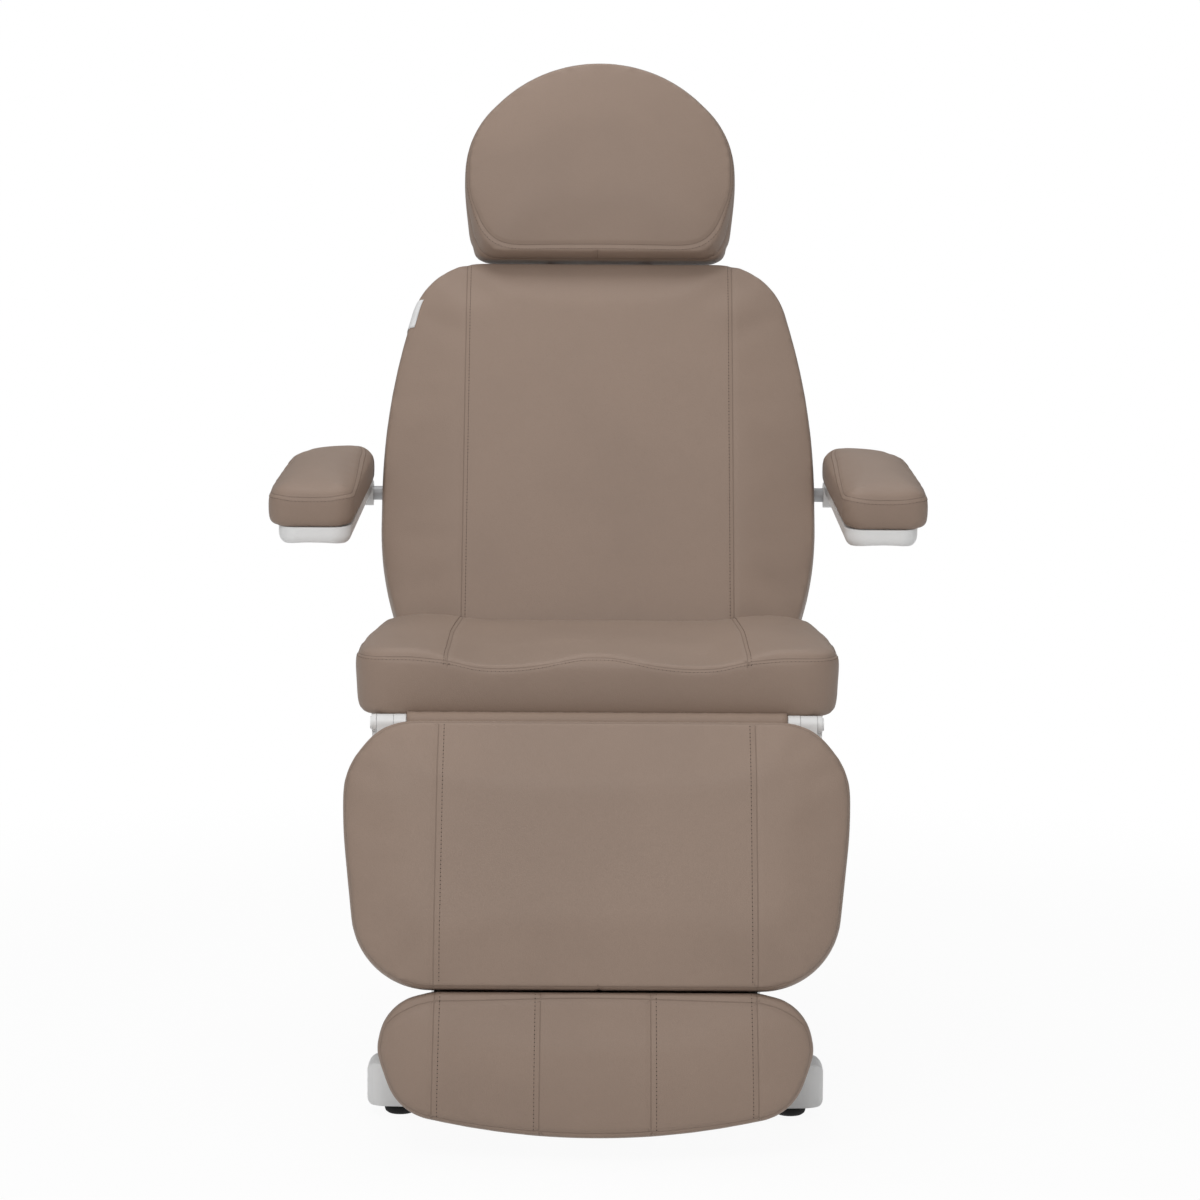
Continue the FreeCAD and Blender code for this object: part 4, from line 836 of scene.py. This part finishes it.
# painted shade: a black strip under the leg rest board, behind the top of the foot rest, darkens the gap between the
# two rests
gapShadeStrip = {"halfWidth": 0.203, "front": 0.0030, "thick": 0.0010, "top": -0.322, "bottom": -0.354, "columns": 40}
shape = bmesh.new()
bmesh.ops.create_grid(shape, x_segments=gapShadeStrip["columns"], y_segments=6, size=0.5)
for vertex in shape.verts:
    share = vertex.co.y + 0.5
    wave = 0.0004 * math.sin(vertex.co.x * 70.0) * (1.0 - share)
    vertex.co = legFacing.point(vertex.co.x * 2.0 * gapShadeStrip["halfWidth"], gapShadeStrip["front"] + wave,
                                gapShadeStrip["bottom"] + share * (gapShadeStrip["top"] - gapShadeStrip["bottom"]))
bmesh.ops.recalc_face_normals(shape, faces=shape.faces)
bmesh.ops.solidify(shape, geom=shape.faces[:], thickness=gapShadeStrip["thick"])
bmesh.ops.recalc_face_normals(shape, faces=shape.faces)
trim(moulded("gapShadeStrip", shape, rubbery("paintedGapShade", (0.010, 0.010, 0.010), 0.8)), "leg")

# a white collar closes the shaft between each end of the flap and its bracket
flapCollar = {"radius": 0.0112, "bore": 0.0082, "inner": 0.2420, "outer": 0.2582, "sides": 40}
shape = bmesh.new()
for side in (-1.0, 1.0):
    knots = [shape.verts.new((side * across, 0.0, radius)) for across, radius in (
        (flapCollar["inner"], flapCollar["bore"]), (flapCollar["inner"], flapCollar["radius"] - 0.0010),
        (flapCollar["inner"] + 0.0008, flapCollar["radius"]), (flapCollar["outer"] - 0.0008, flapCollar["radius"]),
        (flapCollar["outer"], flapCollar["radius"] - 0.0010), (flapCollar["outer"], flapCollar["bore"]))]
    edges = [shape.edges.new(pair) for pair in zip(knots, knots[1:] + knots[:1])]
    bmesh.ops.spin(shape, geom=knots + edges, cent=(0.0, 0.0, 0.0), axis=(1.0, 0.0, 0.0), angle=math.tau,
                   steps=flapCollar["sides"], use_merge=True, use_duplicate=False)
bmesh.ops.remove_doubles(shape, verts=shape.verts, dist=0.00001)
bmesh.ops.recalc_face_normals(shape, faces=shape.faces)
bmesh.ops.translate(shape, vec=(0.0, *kneeFlap["place"]), verts=shape.verts)
trim(moulded("flapCollars", shape, finishes["white_plastic"], smooth=False), "seat")

# plain sewn-in tab on the left shoulder, folded over the edge
shoulderTab = {"up": 0.521, "height": 0.043, "columns": 10, "rows": 14, "core": 0.030, "coreDepth": 0.050,
               "from": -35.0, "to": 58.0, "proud": 0.0010, "thick": 0.0007}
shape = bmesh.new()
bmesh.ops.create_grid(shape, x_segments=shoulderTab["columns"], y_segments=shoulderTab["rows"], size=0.5)
tabSkin = surfaceOf(back)
turnBack = backFacing.world.to_3x3()
for vertex in shape.verts:
    up = shoulderTab["up"] + vertex.co.y * shoulderTab["height"]
    edge = tabSkin.ray_cast(backFacing.point(-1.0, shoulderTab["coreDepth"], up), turnBack @ Vector((1.0, 0.0, 0.0)))[0]
    core = edge + turnBack @ Vector((shoulderTab["core"], 0.0, 0.0))
    angle = math.radians(shoulderTab["from"] + (vertex.co.x + 0.5) * (shoulderTab["to"] - shoulderTab["from"]))
    outward = turnBack @ Vector((-math.cos(angle), -math.sin(angle), 0.0))
    place, normal, _, _ = tabSkin.ray_cast(core + outward * 0.2, -outward)
    vertex.co = place + normal * shoulderTab["proud"]
bmesh.ops.recalc_face_normals(shape, faces=shape.faces)
bmesh.ops.solidify(shape, geom=shape.faces[:], thickness=shoulderTab["thick"])
bmesh.ops.recalc_face_normals(shape, faces=shape.faces)
tab = moulded("shoulderTab", shape, coated("wovenTab", (0.78, 0.78, 0.78), 0.7, 1600.0, 0.0002))
trim(tab, "back")
report("shoulder tab sewn in")


def softEdges(node, body, width, segments=3, angle=35.0):
    # a copy of a carried-over node with its sharp edges rounded over, as paint and moulding leave them
    shape = bmesh.new()
    shape.from_mesh(frame["nodes"][node].data)
    bmesh.ops.remove_doubles(shape, verts=shape.verts, dist=0.00002)
    bmesh.ops.dissolve_limit(shape, angle_limit=math.radians(2.0), verts=shape.verts, edges=shape.edges)
    piece = moulded(node + "Soft", shape, finishes[slotOf[node]])
    rounding = piece.modifiers.new("rounding", "BEVEL")
    rounding.limit_method = "ANGLE"
    rounding.angle_limit = math.radians(angle)
    rounding.width = width
    rounding.segments = segments
    rounding.harden_normals = True
    settled(piece)
    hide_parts(node)
    trim(piece, body)


bodyOf = {nodeName: body for body, row in frame["record"]["behaviour"]["bodies"].items() for nodeName in row}
edgeWidths = {"base_bar_covers": 0.007, "control_box": 0.004, "arm_left_shell": 0.0025, "arm_right_shell": 0.0025,
              "column_head_plate": 0.002, "back_hinge_plates": 0.002, "leg_hinge_brackets": 0.0015,
              "back_rear_panel": 0.0015, "turntable_plate": 0.002, "column_outer": 0.0008, "column_middle": 0.0008,
              "column_inner": 0.0008}
for nodeName, width in edgeWidths.items():
    softEdges(nodeName, bodyOf[nodeName], width)
shellDraw = {"inward": 0.008, "fromX": 0.37, "fade": 0.06}
for sideName in ("left", "right"):
    # the shell stands in under the outer edge of its cushion
    for vertex in bpy.data.objects["arm_%s_shellSoft" % sideName].data.vertices:
        share = eased((abs(vertex.co.x) - shellDraw["fromX"]) / shellDraw["fade"])
        vertex.co.x -= math.copysign(shellDraw["inward"] * share, vertex.co.x)

# the bar covers turn down at their ends
coverEnd = {"front": 0.298, "rear": 0.236, "top": 0.013, "bottom": 0.007, "cuts": (0.018, 0.013, 0.009, 0.006, 0.003)}
cover = bpy.data.objects["base_bar_coversSoft"]
shape = bmesh.new()
shape.from_mesh(cover.data)
for end in (coverEnd["front"], coverEnd["rear"]):
    for cut in coverEnd["cuts"]:
        for side in (-1.0, 1.0):
            bmesh.ops.bisect_plane(shape, geom=shape.verts[:] + shape.edges[:] + shape.faces[:], dist=0.000001,
                                   plane_co=(side * (end - cut), 0.0, 0.0), plane_no=(1.0, 0.0, 0.0))
lowest, highest = min(v.co.z for v in shape.verts), max(v.co.z for v in shape.verts)
for vertex in shape.verts:
    end = coverEnd["front"] if vertex.co.y < 0.0 else coverEnd["rear"]
    share = (vertex.co.z - lowest) / (highest - lowest)
    for radius, weight in ((coverEnd["top"], -share), (coverEnd["bottom"], 1.0 - share)):
        past = min(radius, max(0.0, abs(vertex.co.x) - end + radius))
        vertex.co.z += weight * (radius - math.sqrt(radius * radius - past * past))
shape.to_mesh(cover.data)
shape.free()
report("hard edges rounded")

# plugs close the open ends of the frame tubes
tubePlug = {"thick": 0.0018, "edge": 0.0005}
plugPlaces = {"seat": (seatFacing, "x", [(side * 0.286, y, 0.510, 0.030, 0.040) for side in (-1.0, 1.0)
                                         for y in (-0.285, 0.075)]),
              "back": (backFacing, "x", [(side * x, 0.0165, up, 0.025, 0.025) for side in (-1.0, 1.0)
                                         for x, up in ((0.288, 0.0305), (0.230, 0.5125))]),
              "leg": (legFacing, "z", [(side * 0.269, 0.0205, -0.300, 0.020, 0.025) for side in (-1.0, 1.0)])}
for body, (facing, axis, places) in plugPlaces.items():
    shape = bmesh.new()
    stand = Matrix.Identity(4) if body == "seat" else facing.world
    for x, y, z, wide, tall in places:
        outward = math.copysign(tubePlug["thick"] / 2.0, x) if axis == "x" else -tubePlug["thick"] / 2.0
        if axis == "x":
            place, size = Vector((x + outward, y, z)), (tubePlug["thick"], wide, tall)
        else:
            place, size = Vector((x, y, z + outward)), (wide, tall, tubePlug["thick"])
        made = bmesh.ops.create_cube(shape, size=1.0)["verts"]
        bmesh.ops.scale(shape, vec=size, verts=made)
        bmesh.ops.translate(shape, vec=place, verts=made)
        bmesh.ops.transform(shape, matrix=stand, verts=made)
    bmesh.ops.bevel(shape, geom=shape.edges[:], offset=tubePlug["edge"], affect="EDGES", segments=2, profile=0.5,
                    material=-1)
    trim(moulded(body + "Plugs", shape, finishes["white_plastic"], smooth=False), body)

# button-head screws hold the rear panel to the uprights and the upper tube
panelScrew = {"face": 0.0331, "steps": 24, "uprightX": 0.215, "ups": (0.105, 0.235, 0.365, 0.480),
              "top": (0.0, 0.5125), "outline": ((0.0, 0.0006), (0.0015, 0.0006), (0.0016, 0.0021), (0.0030, 0.0019),
                                                (0.0042, 0.0011), (0.0046, 0.0))}
shape = bmesh.new()
screwPlaces = [(side * panelScrew["uprightX"], up) for side in (-1.0, 1.0) for up in panelScrew["ups"]]
for across, up in screwPlaces + [panelScrew["top"]]:
    before = set(shape.verts)
    turned(shape, [(radius, 0.0, height) for radius, height in panelScrew["outline"]], (0.0, 0.0, 1.0),
           panelScrew["steps"])
    made = [vertex for vertex in shape.verts if vertex not in before]
    stand = Matrix.Translation((across, panelScrew["face"], up)) @ Matrix.Rotation(math.radians(-90.0), 4, "X")
    bmesh.ops.transform(shape, matrix=backFacing.world @ stand, verts=made)
bmesh.ops.remove_doubles(shape, verts=shape.verts, dist=0.00001)
bmesh.ops.recalc_face_normals(shape, faces=shape.faces)
trim(moulded("panelScrews", shape, finishes["steel"]), "back")
report("plugs and screws set")

# feet: ribbed rubber with a rounded tread
rubberFoot = {"ribs": 36, "ribRadius": 0.0195, "ribDepth": 0.0007,
              "places": ((0.193, 0.242), (-0.193, 0.242), (0.255, -0.242), (-0.255, -0.242))}
shape = bmesh.new()
outline = ((0.0, 0.0), (0.013, 0.0), (0.0165, 0.0006), (0.0195, 0.0028), (0.0208, 0.0058), (0.0210, 0.0090),
           (0.0206, 0.0115), (0.0192, 0.0130), (0.006, 0.0130))
turned(shape, [(radius, 0.0, height) for radius, height in outline], (0.0, 0.0, 1.0), 2 * rubberFoot["ribs"])
bmesh.ops.remove_doubles(shape, verts=shape.verts, dist=0.00001)
for vertex in shape.verts:
    rim = Vector((vertex.co.x, vertex.co.y, 0.0))
    around = math.atan2(rim.y, rim.x) * rubberFoot["ribs"]
    if rim.length > rubberFoot["ribRadius"]:
        vertex.co -= rim.normalized() * rubberFoot["ribDepth"] * (0.5 - 0.5 * math.cos(around))
bmesh.ops.recalc_face_normals(shape, faces=shape.faces)
template = bpy.data.meshes.new("footTemplate")
shape.to_mesh(template)
shape.free()
shape = bmesh.new()
for across, along in rubberFoot["places"]:
    count = len(shape.verts)
    shape.from_mesh(template)
    shape.verts.ensure_lookup_table()
    bmesh.ops.translate(shape, vec=(across, along, 0.0), verts=shape.verts[count:])
bpy.data.meshes.remove(template)
feet = moulded("ribbedFeet", shape, finishes["black_rubber"])
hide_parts("levelling_feet")
trim(feet, "base")
report("feet moulded")

# floor, sky and lamps
stageLight = {"floorHalf": 40.0, "nearWhite": 0.94, "fadeFrom": 1.1, "fadeTo": 2.4, "skyStrength": 0.55,
              "rightShade": 0.12, "rearShade": 0.25, "lowShade": 0.35, "keyPower": 16.0, "fillPower": 39.0,
              "rearPower": 8.0}
shape = bmesh.new()
bmesh.ops.create_grid(shape, x_segments=1, y_segments=1, size=stageLight["floorHalf"])
floorFinish = bpy.data.materials.new("whiteFloor")
floorFinish.use_nodes = True
tree = floorFinish.node_tree
tree.nodes.clear()
path = Wire(tree).node("ShaderNodeLightPath")
rays = path.socket.node.outputs
seen = path.sum("MAXIMUM", Wire(tree, rays["Is Camera Ray"]), Wire(tree, rays["Is Glossy Ray"]))
seen = seen.sum("MAXIMUM", seen, Wire(tree, rays["Is Transmission Ray"]))
spot = path.node("ShaderNodeTexCoord", output=3)
away = path.node("ShaderNodeVectorMath", {"operation": "LENGTH"}, {0: spot}, 1)
away = away.fade(stageLight["fadeFrom"], stageLight["fadeTo"])
matt = path.node("ShaderNodeBsdfDiffuse", None, {"Color": (0.86, 0.86, 0.86, 1.0)})
glow = path.node("ShaderNodeEmission", None, {"Color": (1.0, 1.0, 1.0, 1.0), "Strength": 1.0})
whiteness = stageLight["nearWhite"] + (1.0 - stageLight["nearWhite"]) * away
mixed = path.node("ShaderNodeMixShader", None, {0: seen * whiteness, 1: matt, 2: glow})
tree.links.new(mixed.socket, tree.nodes.new("ShaderNodeOutputMaterial").inputs["Surface"])
floor = moulded("floor", shape, floorFinish, smooth=False)

world = bpy.data.worlds.new("studioSky")
scene.world = world
world.use_nodes = True
tree = world.node_tree
tree.nodes.clear()
path = Wire(tree).node("ShaderNodeLightPath")
rays = path.socket.node.outputs
seen = path.sum("MAXIMUM", Wire(tree, rays["Is Camera Ray"]), Wire(tree, rays["Is Transmission Ray"]))
white = path.node("ShaderNodeBackground", None, {"Color": (1.0, 1.0, 1.0, 1.0), "Strength": 1.0})
towards = path.node("ShaderNodeSeparateXYZ", None, {0: path.node("ShaderNodeTexCoord", output=0)})
right = towards.fade(0.1, 0.9)
behind = Wire(tree, towards.socket.node.outputs["Y"]).fade(-0.1, 0.8)
above = Wire(tree, towards.socket.node.outputs["Z"]).fade(0.1, 0.9)
glow = (1.0 - stageLight["rightShade"] * right) * (1.0 - stageLight["rearShade"] * behind)
glow = glow * (1.0 - stageLight["lowShade"] + stageLight["lowShade"] * above) * stageLight["skyStrength"]
soft = path.node("ShaderNodeBackground", None, {"Color": (1.0, 1.0, 1.0, 1.0), "Strength": glow})
mixed = path.node("ShaderNodeMixShader", None, {0: seen, 1: soft, 2: white})
tree.links.new(mixed.socket, tree.nodes.new("ShaderNodeOutputWorld").inputs["Surface"])


def softbox(name, place, aim, size, power):
    data = bpy.data.lights.new(name, "AREA")
    data.shape = "RECTANGLE"
    data.size, data.size_y = size
    data.energy = power
    lamp = bpy.data.objects.new(name, data)
    lamp.location = place
    lamp.rotation_euler = (Vector(aim) - Vector(place)).to_track_quat("-Z", "Y").to_euler()
    scene.collection.objects.link(lamp)


softbox("keySoftbox", (-0.25, 0.25, 3.1), (0.0, 0.15, 0.7), (1.2, 0.9), stageLight["keyPower"])
softbox("fillSoftbox", (-0.4, -2.8, 2.4), (0.0, 0.0, 0.85), (1.4, 1.2), stageLight["fillPower"])
softbox("rearSoftbox", (0.6, 2.4, 3.2), (0.0, 0.2, 0.7), (2.0, 1.6), stageLight["rearPower"])
report("stage lit")

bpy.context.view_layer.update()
report("done")
